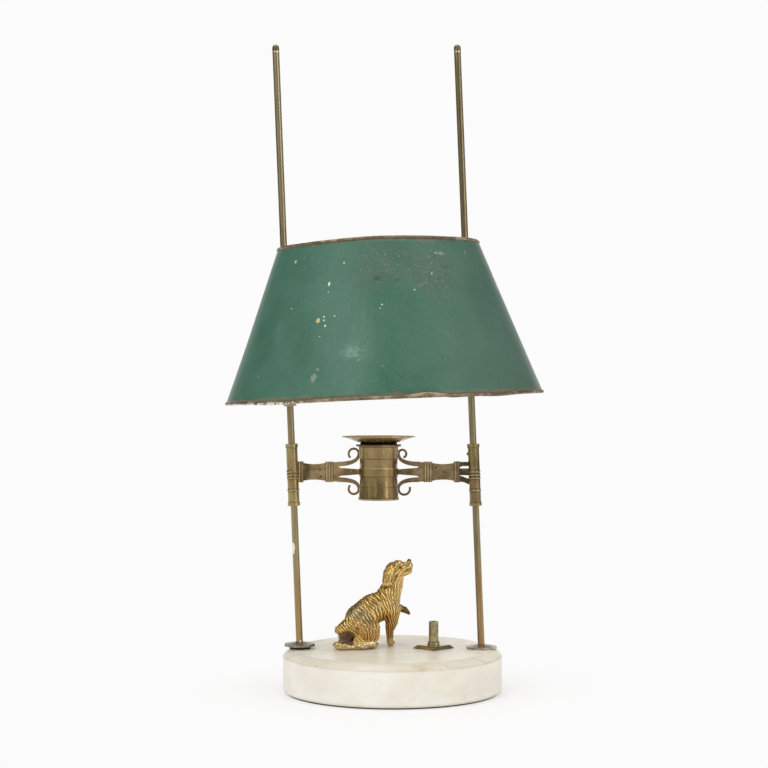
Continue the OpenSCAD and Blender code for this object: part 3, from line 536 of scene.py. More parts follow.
def paint_material():
    """Old green paint: mottled, rubbed brown along both edges, with chips that show pale metal through, and
    pale patches of painted sheen at the front.
    """
    made, tree, skin, where = new_material("worn_green_paint")
    broad = cloud(tree, where, 24, 5, 0.6, 0.4)
    middle = cloud(tree, where, 260, 5, 0.65)
    speck = cloud(tree, where, 760, 4, 0.7)
    grain = cloud(tree, where, 1400, 3, 0.7)
    streak = cloud(tree, stretched(tree, where, (1, 1, 0.12)), 200, 4, 0.6)
    tone = blend_colours(tree, ramp(tree, broad, 0.3, 0.7), srgb(57, 98, 79), srgb(69, 108, 90))
    across = ramp(tree, axis_of(tree, where, "X"), -0.01, 0.10, 0, 0.5)
    tone = stain(tree, tone, srgb(82, 97, 86), across)
    for noise, low, high, colour in ((middle, 0.5, 0.75, (76, 114, 96)), (grain, 0.55, 0.78, (104, 132, 117)),
                                     (grain, 0.43, 0.26, (36, 70, 54)), (speck, 0.52, 0.74, (98, 128, 112)),
                                     (speck, 0.46, 0.28, (40, 76, 60))):
        tone = stain(tree, tone, srgb(*colour), ramp(tree, noise, low, high), 0.35)
    # Pale hazy patches: the front ones are painted sheen, the ones round the back dulled paint.
    haze_and_sheen = marks(tree, where, HAZE_AND_SHEEN, 0.9, 0.4)
    tone = stain(tree, tone, srgb(132, 164, 148), haze_and_sheen, ramp(tree, streak, 0.3, 0.7, 0.05, 0.14))
    # Painted sheen: a brighter pale patch at the front left.
    sheen_mark = marks(tree, where, SHEEN_MARKS, 0.8, 1.3)
    tone = stain(tree, tone, srgb(142, 172, 157), sheen_mark, ramp(tree, middle, 0.38, 0.66, 0.08, 0.46))
    worn = marks(tree, where, RUBBED, 0.6, 0.7)
    tone = stain(tree, tone, srgb(92, 96, 88), worn, ramp(tree, middle, 0.4, 0.65, 0.08, 0.5))
    lost = times(tree, ramp(tree, speck, 0.55, 0.63), worn)
    tone = stain(tree, tone, srgb(66, 62, 54), lost, 0.65)
    bits = times(tree, ramp(tree, speck, 0.40, 0.33), worn)
    tone = stain(tree, tone, srgb(160, 172, 156), bits, 0.55)
    tone = stain(tree, tone, srgb(62, 62, 56), marks(tree, where, DARK_SPOTS, 0.6, 1.0), 0.5)
    ragged = times(tree, minus(tree, cloud(tree, where, 150, 4, 0.65), 0.5), 0.007)
    up = plus(tree, shade_height(tree, where), ragged)
    edge = most(tree, ramp(tree, up, 0.0037, 0.0018), ramp(tree, up, 0.1116, 0.1135))
    tone = stain(tree, tone, srgb(124, 106, 82), edge, ramp(tree, speck, 0.38, 0.6, 0.95, 0.35))
    tan = marks(tree, where, TAN_CHIPS, 0.35, 1.0)
    tone = stain(tree, tone, srgb(206, 182, 122), tan, 0.85)
    tone = stain(tree, tone, srgb(166, 172, 148), marks(tree, where, FAINT_CHIPS, 0.5, 1.2), 0.38)
    stray = cloud(tree, stretched(tree, where, shift=(0.4, 0.1, 0.7)), 420, 3, 0.6)
    stray = times(tree, ramp(tree, stray, 0.725, 0.775), 0.6)
    pale = most(tree, marks(tree, where, PALE_CHIPS, 0.3, 0.6), stray)
    tone = stain(tree, tone, srgb(216, 220, 204), pale, 0.9)
    dress(tree, skin, tone, plus(tree, ramp(tree, broad, 0.3, 0.7, 0.3, 0.38), times(tree, worn, 0.14)))
    skin.inputs["Specular IOR Level"].default_value = 0.25
    chipped = most(tree, most(tree, pale, tan), times(tree, lost, 0.6))
    bumped(tree, skin, minus(tree, times(tree, grain, 0.25), chipped), 0.25, 0.0002)
    return made


def rim_material(name, crusted):
    """The wired edge: brown, rubbed to tan in places; the lower one has pale crusts under its left side."""
    made, tree, skin, where = new_material(name)
    got = aged(tree, where, srgb(84, 71, 55), srgb(130, 113, 90), srgb(172, 154, 126), srgb(120, 120, 96),
               0.15, 200, 0.42)
    rub = ramp(tree, cloud(tree, stretched(tree, where, shift=(0.2, 0.5, 0.1)), 62, 4, 0.6), 0.5, 0.62)
    tone = stain(tree, got["Colour"], srgb(190, 172, 142), rub, 0.6)
    metal = minus(tree, 0.75, times(tree, rub, 0.3))
    if crusted:
        left = ramp(tree, axis_of(tree, where, "X"), -0.05, -0.075)
        under = times(tree, ramp(tree, shade_height(tree, where), 0.0, -0.0008), left)
        crust = times(tree, under, ramp(tree, cloud(tree, where, 330, 4, 0.65), 0.44, 0.54))
        tone = stain(tree, tone, srgb(226, 218, 204), crust)
        metal = times(tree, metal, minus(tree, 1.0, crust))
    dress(tree, skin, tone, got["Roughness"], metal)
    bumped(tree, skin, got["Height"], 0.3, 0.0003)
    return made


def lining_material():
    """The inside of the shade: old cream paint, smoked a little towards the top."""
    made, tree, skin, where = new_material("cream_lining")
    broad = cloud(tree, where, 30, 5, 0.6, 0.4)
    tone = blend_colours(tree, ramp(tree, broad, 0.3, 0.7), srgb(206, 198, 172), srgb(222, 216, 196))
    tone = stain(tree, tone, srgb(150, 134, 104), ramp(tree, axis_of(tree, where, "Z"), 0.24, 0.345), 0.35)
    dress(tree, skin, tone, ramp(tree, broad, 0.3, 0.7, 0.45, 0.6))
    bumped(tree, skin, cloud(tree, where, 700, 4, 0.6), 0.1, 0.0002)
    return made


def baize_material():
    """Dark olive felt with a short nap."""
    made, tree, skin, where = new_material("olive_baize")
    nap = cloud(tree, where, 2600, 3, 0.7)
    broad = cloud(tree, where, 60, 4, 0.6)
    tone = blend_colours(tree, ramp(tree, nap, 0.35, 0.65), srgb(58, 58, 34), srgb(92, 90, 58))
    tone = stain(tree, tone, srgb(110, 102, 70), ramp(tree, broad, 0.4, 0.7), 0.4)
    dress(tree, skin, tone, ramp(tree, nap, 0.3, 0.7, 0.9, 1.0))
    bumped(tree, skin, nap, 0.5, 0.0004)
    return made


def steel_material():
    """Grey spring steel with a fine grain along its length."""
    made, tree, skin, where = new_material("spring_steel")
    grain = cloud(tree, stretched(tree, where, (1, 1, 0.1)), 900, 4, 0.6)
    tone = blend_colours(tree, grain, srgb(120, 118, 112), srgb(176, 174, 168))
    dress(tree, skin, tone, ramp(tree, grain, 0.3, 0.7, 0.28, 0.42), 1.0)
    return made


def shine_bands(share=1.0):
    """Painted highlights on the sleeves' rings and lips."""
    rings = [(SLEEVE_Z + off, 0.9, 0.35 * share) for off in (-11.75, -2.4, 0, 2.4)]
    return rings + [(SLEEVE_Z + off, 1.2, 0.15 * share) for off in (-22.6, 22.6)]


# Bands along an axis: place and half width in millimetres, amount.
# The sleeves' dark bands beside their rings: old polish in the grooves and painted shade under the rings.
SLEEVE_GRIME_AND_SHADE = [(SLEEVE_Z + off, 0.5, 0.5) for off in (-20.6, -13.0, -10.5, -3.7, -1.2, 1.2, 3.7, 20.6)]
# Painted highlights on the socket: the upper edge of its band and a ring low down.
SOCKET_SHINE = [(169.3, 0.45, 0.8), (145.8, 0.5, 0.4)]
# The socket's dark bands: turned lines and old polish, with painted shadow under its band, under its top
# flange and under the drip pan.
SOCKET_GRIME_AND_SHADE = [
    (163.0, 0.5, 0.8), (154.95, 0.45, 0.5), (176.35, 0.45, 0.6), (147.0, 0.7, 0.5), (185.4, 0.6, 0.6),
    (186.9, 0.8, 0.7),
]
# Painted highlights along the plinth's edges.
PLINTH_SHINE = [(33.6, 0.5, 0.35), (34.9, 0.25, 0.5)]
PLINTH_GRIME = [(32.5, 0.5, 0.8), (34.5, 0.3, 0.8), (35.3, 0.4, 0.6), (37.4, 0.5, 0.7)]
# Painted shadow on the nozzle's neck, under the drip pan.
NOZZLE_PAINTED_SHADOW = [(188.4, 2.4, 2.6)]


def arm_bands(side, shadow):
    """Painted highlights on an arm's ridges, the dark grooves beside them, painted shadow near the sleeve and
    a darkening over the scrolls, all from the socket's axis.
    """
    shine = [(SOCKET_X + side * far, 0.8, 0.4) for far in (35.6, 37.6, 39.6, 58.5, 60.7)]
    grime_and_shade = [(SOCKET_X + side * far, 0.45, 0.55) for far in (34.5, 36.6, 38.6, 40.7, 57.4, 59.6, 61.9)]
    scrolls = (20.0, 8.5, 0.5)
    broad = [(SOCKET_X + side * far, half, amount) for far, half, amount in (shadow, scrolls)]
    return shine, grime_and_shade + broad


FINISH = {
    # The right rod is a darker copy of the left rod's brass: painted shade.
    "left_rod": rod_material("left_rod_brass", 1.0),
    "right_rod": rod_material("right_rod_brass", 0.96),
    "marble": marble_material(),
    "gilt": gilt_material(),
    "paint": paint_material(),
    "lining": lining_material(),
    "baize": baize_material(),
    "steel": steel_material(),
    "rim": rim_material("worn_rim", False),
    "low_rim": rim_material("worn_low_rim", True),
    # The finial collars' brass is painted nearly white: a painted reflection of the white surroundings.
    "bright": brass_material("collar_reflection_brass", (188, 176, 148), (228, 218, 196), (246, 240, 224),
                             0.22, 200),
    "brown": brass_material("brown_brass", (98, 80, 56), (132, 112, 82), (172, 150, 114), 0.34, 140,
                            bloom=0.2, metal=0.85),
    "left_foot": brass_material("grey_foot", (84, 78, 62), (152, 147, 123), (220, 216, 196), 0.24, 170,
                                bloom=0.15, metal=0.8),
    # The washer under the left foot is painted nearly black as painted shade under the foot; the arm's rivets
    # share it as their own dark colour.
    "washer": brass_material("dark_washer", (38, 34, 27), (58, 52, 41), (92, 86, 68), 0.45, 150, metal=0.7),
    "right_foot": brass_material("rosy_foot", (112, 101, 87), (192, 178, 160), (230, 220, 204), 0.24, 170,
                                 bloom=0.15, metal=0.8),
    "plinth": brass_material("plinth_brass", (118, 104, 74), (174, 160, 120), (226, 212, 168), 0.19, 150,
                             bloom=0.15, metal=0.88, axis="Z", shine=PLINTH_SHINE, grime_and_shade=PLINTH_GRIME),
    # The left sleeve and arm are painted lighter and the right ones darker: painted light and shade over
    # their own tones.
    "left_sleeve": brass_material("left_sleeve_brass", (134, 114, 74), (176, 154, 106), (222, 200, 150),
                                  0.17, 60, (1, 1, 0.3), 0.08, 0.9, "Z", shine_bands(0.5), SLEEVE_GRIME_AND_SHADE),
    "right_sleeve": brass_material("right_sleeve_brass", (98, 84, 54), (138, 119, 80), (192, 172, 126),
                                   0.17, 60, (1, 1, 0.3), 0.08, 0.9, "Z", shine_bands(), SLEEVE_GRIME_AND_SHADE),
    "left_arm": brass_material("left_arm_brass", (118, 98, 66), (172, 146, 104), (206, 180, 132), 0.25, 110,
                               (1, 1, 1), 0.2, 0.87, "X", *arm_bands(-1, (55.5, 5.0, 0.75))),
    "right_arm": brass_material("right_arm_brass", (104, 86, 62), (154, 132, 96), (194, 172, 128), 0.25, 110,
                                (1, 1, 1), 0.3, 0.87, "X", *arm_bands(1, (65.0, 8.0, 0.75))),
    "socket": brass_material("socket_brass", (112, 92, 58), (152, 129, 88), (206, 182, 132), 0.2, 45,
                             (1, 1, 0.25), 0.1, 0.9, "Z", SOCKET_SHINE, SOCKET_GRIME_AND_SHADE),
    "bush": brass_material("bush_brass", (120, 100, 64), (158, 136, 90), (196, 174, 124), 0.3, 200),
    "pan": brass_material("coppery_pan", (126, 99, 69), (192, 159, 115), (230, 202, 162), 0.22, 30,
                          bloom=0.15, metal=0.88),
    "nozzle": brass_material("shadowed_nozzle", (128, 96, 64), (176, 140, 98), (220, 188, 142), 0.22, 60,
                             bloom=0.1, metal=0.88, axis="Z", grime_and_shade=NOZZLE_PAINTED_SHADOW),
    "guide": brass_material("pale_guide", (118, 110, 92), (170, 162, 140), (214, 208, 190), 0.5, 160,
                            metal=0.35),
}

# Which of the part's own solids wear which finish.
WEARS = {
    "left_rod": ["rod_left"],
    "right_rod": ["rod_right"],
    "marble": ["marble_base"],
    "bright": ["finial_collars"],
    "brown": ["finial_left", "finial_right", "rod_washers", "rod_nuts", "dog_stud", "dog_nut", "plinth_nut"],
    "left_foot": ["rosette_left"],
    "washer": ["foot_washer_left", "arm_rivets"],
    "right_foot": ["rosette_right"],
    "plinth": ["plinth_plate", "plinth_tube"],
    "left_sleeve": ["sleeve_left"],
    "right_sleeve": ["sleeve_right"],
    "left_arm": ["arm_left"],
    "right_arm": ["arm_right"],
    "socket": ["socket_tube", "socket_band", "socket_floor"],
    "bush": ["sleeve_bushes", "guide_bushes"],
    "steel": ["sleeve_springs", "guide_springs"],
    "pan": ["drip_pan"],
    "nozzle": ["pan_nozzle"],
    "guide": ["guide_left", "guide_right", "guide_lugs", "guide_stays", "guide_rivets"],
    "rim": ["sleeve_rivets"],
    "paint": ["shade_seam"],
    "gilt": ["dog_figure"],
    "baize": ["base_baize"],
}
for finish, names in WEARS.items():
    for name in names:
        solid[name].data.materials.clear()
        solid[name].data.materials.append(FINISH[finish])


# Making pieces.

BAIZE_SIDES, BAIZE_ROUND = 160, 0.3


def added(name, data):
    made = bpy.data.objects.new(name, data)
    bpy.context.scene.collection.objects.link(made)
    return made


def mesh_of(bm, name):
    mesh = bpy.data.meshes.new(name)
    bm.to_mesh(mesh)
    bm.free()
    return mesh


def piece_from(bm, name, body, finishes):
    """A finished mesh becomes a piece on its body, at the origin."""
    mesh = mesh_of(bm, name)
    for finish in finishes:
        mesh.materials.append(FINISH[finish])
    for face in mesh.polygons:
        face.use_smooth = True
    made = added(name, mesh)
    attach(made, body)
    return made


def make_baize():
    """The felt under the marble, a thin disc with a soft edge."""
    radius = (BASE_R - BAIZE_INSET) * MM
    bm = bmesh.new()
    bmesh.ops.create_circle(bm, cap_ends=True, segments=BAIZE_SIDES, radius=radius)
    grown = bmesh.ops.extrude_face_region(bm, geom=bm.faces[:])
    top = [v for v in grown["geom"] if isinstance(v, bmesh.types.BMVert)]
    bmesh.ops.translate(bm, verts=top, vec=(0, 0, BAIZE_T * MM))
    bmesh.ops.recalc_face_normals(bm, faces=bm.faces[:])
    rims = [e for e in bm.edges if len(e.link_faces) == 2 and e.calc_face_angle() > 1.0]
    bmesh.ops.bevel(bm, geom=rims, offset=BAIZE_ROUND * MM, offset_type="OFFSET", segments=3,
                    profile=0.5, affect="EDGES", material=-1)
    made = piece_from(bm, "felt_foot", "stand", ["baize"])
    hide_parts("base_baize")


# The shade.

SHADE_SIDES, SHADE_CUTS, WIRE_SIDES = 240, 31, 20


def set_in_shade(bm):
    for v in bm.verts:
        v.co = SHADE_FRAME @ dented(v.co)


def make_shade():
    """The sheet-metal cone, green outside and cream inside."""
    bm = bmesh.new()
    bmesh.ops.create_cone(bm, cap_ends=False, segments=SHADE_SIDES, radius1=SHADE_LOW_R * MM,
                          radius2=SHADE_TOP_R * MM, depth=SHADE_H * MM,
                          matrix=Matrix.Translation((0, 0, SHADE_H * MM / 2)))
    uprights = [e for e in bm.edges if abs(e.verts[0].co.z - e.verts[1].co.z) > 0.5 * SHADE_H * MM]
    bmesh.ops.subdivide_edges(bm, edges=uprights, cuts=SHADE_CUTS, use_grid_fill=True)
    bmesh.ops.recalc_face_normals(bm, faces=bm.faces[:])
    if sum(f.normal.dot(f.calc_center_median() * Vector((1, 1, 0))) for f in bm.faces) < 0:
        bmesh.ops.reverse_faces(bm, faces=bm.faces[:])
    set_in_shade(bm)
    made = piece_from(bm, "shade_sheet", "shade", ["paint", "lining"])
    wall = made.modifiers.new("sheet", "SOLIDIFY")
    wall.thickness = SHEET_T * MM
    wall.offset = 0
    wall.material_offset = 1
    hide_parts("shade_shell")


def make_rim(name, node, radius, up, finish):
    """A wired edge of the shade: a round ring that follows the sheet's dents."""
    bm = bmesh.new()
    place = Matrix.Translation((radius * MM, 0, up * MM)) @ Matrix.Rotation(math.pi / 2, 4, "X")
    bmesh.ops.create_circle(bm, segments=WIRE_SIDES, radius=WIRE_R * MM, matrix=place)
    bmesh.ops.spin(bm, geom=bm.verts[:] + bm.edges[:], cent=(0, 0, 0), axis=(0, 0, 1), angle=2 * math.pi,
                   steps=SHADE_SIDES, use_merge=True)
    bmesh.ops.remove_doubles(bm, verts=bm.verts[:], dist=1e-6)
    bmesh.ops.recalc_face_normals(bm, faces=bm.faces[:])
    set_in_shade(bm)
    made = piece_from(bm, name, "shade", [finish])
    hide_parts(node)


# The dog, in its own millimetres: x towards the nose, y to the dog's left, z up from the marble.

def both_sides(chain):
    return [chain, [(x, -y, z, radius, breadth) for x, y, z, radius, breadth in chain]]


# Chains of blobs: (x, y, z, radius, breadth).
DOG_BODY = [
    [(0, 0, 18.5, 11.0, .95), (2.5, 0, 22.5, 12.1, .92), (12, 0, 29.4, 11.8, .88), (23.2, 0, 33, 11.2, .86),
     (26.0, 0, 40.3, 9.2, .86), (29.6, 0, 47.4, 7.7, .9), (30.6, 0, 54, 7.4, .92)],
]
# The head is turned back towards the eye: x along the muzzle from the neck, y across it.
DOG_HEAD = [
    [(0.2, 0, 58.4, 7.0, .9), (3.4, 0, 59.6, 6.1, .86), (8.0, 0, 60.9, 4.4, .84), (11.5, 0, 62.0, 3.5, .86)],
    [(5, 0, 57.4, 4.4, .84), (10, 0, 57.6, 2.8, .84), (12.2, 0, 58.2, 2.2, .84)],
    [(11.9, 0, 65.8, 1.8, 1.1)],
    *both_sides([(2.6, 2.4, 63.9, 2.6, 1), (4.8, 2.2, 64.3, 2.1, 1)]),
    *both_sides([(-2.4, 5.4, 60.8, 3.0, .75), (-4.4, 7.2, 55.8, 3.8, .75), (-4.8, 7.8, 50.0, 4.2, .7)]),
]
DOG_LEGS = [
    [(26, -4.6, 29.5, 7.6, .8), (27.1, -2.6, 20, 5.0, .9), (26.8, 0.6, 12.5, 3.1, 1), (27.8, 2.4, 7, 2.5, 1),
     (28.1, 3, 2.9, 2.6, 1)],
    [(28.1, 3, 2.3, 2.5, 1), (30.0, 3, 2.0, 2.0, 1.1)],
    [(28, 4.6, 30, 6.2, .8), (37.0, 5.2, 28.6, 3.0, .9), (41.6, 5.4, 27.0, 2.4, .9),
     (44.9, 5.4, 24.2, 1.4, .9)],
    *both_sides([(2.5, -7.0, 17, 8.4, .7), (6.6, -7.8, 15.4, 8.6, .68), (8.6, -8.2, 10.8, 6.2, .74)]),
    *both_sides([(-3.6, -8.8, 9, 3.8, .9), (-3.6, -9.2, 6.0, 3.8, .9), (4, -9.6, 4.8, 3.2, .9),
                 (9.5, -9.8, 4.2, 2.6, 1)]),
    [(-8, 0, 17.6, 5.6, 1), (-13, -1.0, 15.8, 4.2, 1), (-15.3, -0.6, 14.8, 3.4, 1)],
    [(-8.0, 3, 12, 7.0, 1), (-8.4, 3.4, 7, 5.4, 1), (-8.6, 3, 3, 6.4, 1)],
]
DOG_GROUND = [
    [(-10.3, -0.5, 2.4, 9.0, 1), (-1, -1.0, 2.4, 10.4, 1.0), (5.3, -1.0, 2.2, 9.3, 1.05)],
]
DOG_LUMPS = [
    (-17.0, -3.0, 4.4, 3.8), (-12.8, -6.6, 3.9, 3.2), (-8.4, -7.8, 2.6, 3.4), (-3.8, -9.6, 3.6, 3.2),
    (1.2, -10.2, 2.6, 3.6), (6, -9.9, 3.6, 2.8), (10.2, -8.0, 2.4, 3.4), (12.6, -4.6, 3.2, 3),
    (-17, 1.5, 3.4, 3), (-12, 6.6, 3.0, 4), (0, 8, 2.8, 4), (9, 7, 2.8, 4),
]
GROUND_FLAT, LUMP_FLAT = 0.36, 0.55
SKIN_GRAIN = 0.36
# Lines and points cut in the face and the rump, and the eye, for the dog's left side.
MOUTH = [(15.4, 0.8, 59.7), (13.2, 2.6, 59.5), (10.2, 3.4, 58.7), (7.6, 4.4, 56.8)]
EAR = [
    (3.4, 6.8, 55.4), (1.2, 7.6, 54.0), (-0.8, 8.2, 52.4), (-2.6, 8.5, 50.4), (-4.2, 8.6, 48.4),
    (-6.4, 8.0, 46.6),
]
RUMP = [(-6.2, 9.0, 9.5), (-5.2, 9.6, 13), (-4.0, 10, 16)]
UNDER_TAIL = (-8.5, 5.5, 9.5)
NOSTRIL = (13.2, 0.9, 65.8)
EYE_BALL, EYE_BALL_R = (5.2, 4.3, 61.1), 0.8
# Which way the coat lies: (x, y, z) of a place and the direction there, for one side.
COAT_FLOW = [
    ((40, 4, 60), (-1, 0.2, -0.3)), ((33, 5, 60), (-0.75, 0.2, -0.65)), ((28, 6, 63), (-0.8, 0.3, -0.6)),
    ((23, 7, 57), (-0.3, 0, -1)), ((23, 7, 50), (-0.2, 0, -1)), ((33, 6, 52), (-0.35, 0.2, -1)),
    ((31, 7, 45), (-0.15, 0.1, -1)), ((34, 4, 38), (-0.05, 0.1, -1)), ((22.5, 9, 39.5), (0.38, 0.1, -0.94)),
    ((17.5, 9, 38.6), (0.55, 0.1, -0.85)), ((11, 9, 35), (0.65, 0.1, -0.78)),
    ((3.5, 9, 31), (0.6, 0.1, -0.8)), ((0.8, 10, 27), (0.78, 0, -0.64)),
    ((-3.5, 9.5, 23.5), (0.8, 0, -0.62)), ((-4.5, 6, 33), (0.5, 0.5, -0.9)),
    ((-9.5, 5, 26.8), (0.45, 0.5, -0.9)), ((24.5, 10, 30), (0.05, 0, -1)), ((17.5, 10, 29.7), (0.18, 0, -1)),
    ((17.8, 8, 23.5), (0.3, -0.2, -0.95)), ((3, 11, 21.5), (0.4, 0, -0.92)), ((9, 12, 14.8), (-0.05, 0, -1)),
    ((12.5, 9, 11.5), (-0.3, 0, -0.95)), ((5.5, 12, 9), (-0.15, 0, -1)), ((-4.5, 10, 18), (1, 0.1, -0.2)),
    ((-2.5, 11, 13), (0.9, 0, -0.45)), ((-5, 11, 8), (0.6, 0, -0.8)), ((-15, 3, 16), (0.5, 0.2, -0.85)),
    ((27, 5, 16), (-0.1, 0, -1)), ((28, 2, 7), (0, 0, -1)), ((40, 6, 28), (1, 0, -0.4)),
    ((12, 0, 42), (0.3, 0.9, -0.5)), ((0, 0, 35), (0.3, 0.9, -0.5)), ((-9, 0, 27), (-0.2, 0.6, -0.9)),
]
# The coat: how far a direction reaches, where the head begins, seed of the draws, points to a stroke.
FLOW_REACH = 6.0
HEAD_FROM = 47
COAT_SEED = 7
POINTS_TO_STROKE = 12
# A stroke: spread of its turn, reach, length, breadth and sway in gaps between strokes, depth of the cut.
STROKE_TURN = 0.1
STROKE_REACH, STROKE_LONG, STROKE_BROAD = 2.8, 1.35, 0.8
STROKE_SWAY, SWAY_PACE = 0.16, 1.5
STROKE_DEPTH = 0.6
FULL_TURN = 6.28


def add_chain(bm, chain, flat=1.0, frame=Matrix.Identity(4)):
    """Rounded blobs strung close enough to melt into one form."""
    for (ax, ay, az, ar, aw), (bx, by, bz, br, bw) in zip(chain, chain[1:] or chain):
        steps = max(2, int(math.dist((ax, ay, az), (bx, by, bz)) / (0.35 * min(ar, br))) + 1)
        for i in range(steps + 1):
            t = i / steps
            x, y, z, r, w = (p + (q - p) * t for p, q in zip((ax, ay, az, ar, aw), (bx, by, bz, br, bw)))
            place = frame @ Matrix.Translation((x, y, z)) @ Matrix.Diagonal((r, r * w, r * flat, 1))
            bmesh.ops.create_icosphere(bm, subdivisions=3, radius=1.0, matrix=place)


def melted(bm, name, grain):
    """One skin round everything in the bmesh."""
    holder = added(name, mesh_of(bm, name))
    skin = holder.modifiers.new("melt", "REMESH")
    skin.mode = "VOXEL"
    skin.voxel_size = grain
    bpy.context.view_layer.update()
    whole = bpy.data.meshes.new_from_object(holder.evaluated_get(bpy.context.evaluated_depsgraph_get()))
    bpy.data.objects.remove(holder)
    out = bmesh.new()
    out.from_mesh(whole)
    bpy.data.meshes.remove(whole)
    return out


def coat_direction(place):
    """Which way the coat lies at a place, from the directions near it."""
    side = 1 if place.y >= 0 else -1
    total = Vector((0, 0, 0))
    for (x, y, z), way in COAT_FLOW:
        near = (place - Vector((x, y * side, z))).length
        total += Vector((way[0], way[1] * side, way[2])).normalized() * math.exp(-(near / FLOW_REACH) ** 2)
    return total.normalized() if total.length > 1e-9 else Vector((0, 0, -1))


def coat_depth(place):
    """How deep the strokes are cut: little on the ground, muzzle and paws, half on the rubbed loin."""
    x, y, z = place
    depth = 1.0
    if z < 6 and x < 20:  # the ground
        depth *= 0.15
    if x < -4.5 and z < 12.5 and y > -7:  # the hollow under the tail
        depth = 0.0
    if x > 34 and z > 54:  # the muzzle
        depth *= max(0.12, 1 - (x - 34) / 4)
    if z > HEAD_FROM:
        depth *= 0.55
    if x > 24 and z < 6:  # the standing paw
        depth *= 0.4
    if x > 37 and z < 34:  # the raised paw
        depth *= 0.4
    worn = (place - Vector((-4, math.copysign(6, y), 29.5))).length
    return depth * (1 - 0.5 * max(0, 1 - (worn / 9) ** 2))


def stroke_gap(place):
    """Distance from one stroke of the coat to the next, closest on the legs and the chest."""
    if place.z > HEAD_FROM:
        return 2.7
    if place.z < 20 or place.x > 21:
        return 1.9
    return 2.6


def comb_coat(bm):
    """Cuts wavy strokes along the lie of the coat and notes on every point how high it ends."""
    bm.normal_update()
    spots = np.array([v.co for v in bm.verts])
    faces = np.array([v.normal for v in bm.verts])
    count = len(spots)
    tree = kdtree.KDTree(count)
    for i, place in enumerate(spots):
        tree.insert(place, i)
    tree.balance()
    picks = np.random.default_rng(COAT_SEED)
    field, power = np.zeros(count), np.full(count, 1e-6)
    for i in picks.choice(count, count // POINTS_TO_STROKE, replace=False):
        place, out = Vector(spots[i]), Vector(faces[i])
        way = coat_direction(place)
        way -= out * way.dot(out)
        if way.length < 0.1:
            continue
        way = Matrix.Rotation(picks.normal(0, STROKE_TURN), 3, out) @ way.normalized()
        gap = stroke_gap(place)
        near = np.array([j for _, j, _ in tree.find_range(place, STROKE_REACH * gap)])
        rel = spots[near] - spots[i]
        u, v = rel @ np.array(way), rel @ np.array(out.cross(way))
        v = v - STROKE_SWAY * gap * np.sin(SWAY_PACE * u / gap + picks.uniform(0, FULL_TURN))
        share = np.exp(-(u / (STROKE_LONG * gap)) ** 2 - (v / (STROKE_BROAD * gap)) ** 2)
        share *= np.clip(faces[near] @ np.array(out), 0, 1)
        field[near] += share * np.cos(2 * math.pi * v / gap + picks.uniform(0, FULL_TURN))
        power[near] += share ** 2
    height = 0.5 + 0.5 * np.tanh(1.1 * (field / np.sqrt(0.5 * power) + 0.05))
    layer = bm.verts.layers.float["relief"]
    for v, place, out, high in zip(bm.verts, spots, faces, height):
        depth = coat_depth(Vector(place))
        v.co = Vector(place + out * (STROKE_DEPTH * depth * (high - 0.55)))
        # Where score() noted painted shade, the relief is lowered, which darkens the colour there.
        v[layer] = (high * depth + 0.75 * (1 - depth)) * (1 - v[layer])


def press(bm, centre, reach, depth):
    """Pushes the skin in round one point, as a thumb would."""
    for v in bm.verts:
        far = (v.co - centre).length
        if far < reach:
            v.co -= v.normal * depth * (1 - (far / reach) ** 2) ** 2


def score(bm, line, wide, depth, dirt_and_shade):
    """Cuts a groove along a line of points and notes how dark to paint it: painted shade in the groove."""
    layer = bm.verts.layers.float["relief"]
    for v in bm.verts:
        far = 1e9
        for a, b in zip(line, line[1:]):
            t = max(0, min(1, (v.co - a).dot(b - a) / (b - a).length_squared))
            far = min(far, (v.co - a.lerp(b, t)).length)
        if far < wide:
            v.co -= v.normal * depth * (1 - (far / wide) ** 2)
            v[layer] = max(v[layer], dirt_and_shade * (1 - (far / wide) ** 2))


def cut_face(bm, side):
    """The eye's hollow, the mouth, the ear's edge, the nostril and the folds of the rump on one side."""
    to_side = Matrix.Diagonal((1, side, 1, 1))
    on_head = HEAD_PLACE @ to_side
    press(bm, on_head @ Vector(EYE_HOLLOW), 1.8, 0.6)
    press(bm, to_side @ Vector(UNDER_TAIL), 5.0, 2.6)
    bm.normal_update()
    # The grooves of the mouth, the ear's edge and the rump's folds carry painted shade.
    score(bm, [on_head @ Vector(p) for p in MOUTH], 1.25, 1.6, 1.0)
    score(bm, [on_head @ Vector(p) for p in EAR], 1.7, 1.6, 0.85)
    score(bm, [to_side @ Vector(p) for p in RUMP], 2.0, 1.5, 0.6)
    press(bm, on_head @ Vector(NOSTRIL), 0.7, 0.5)


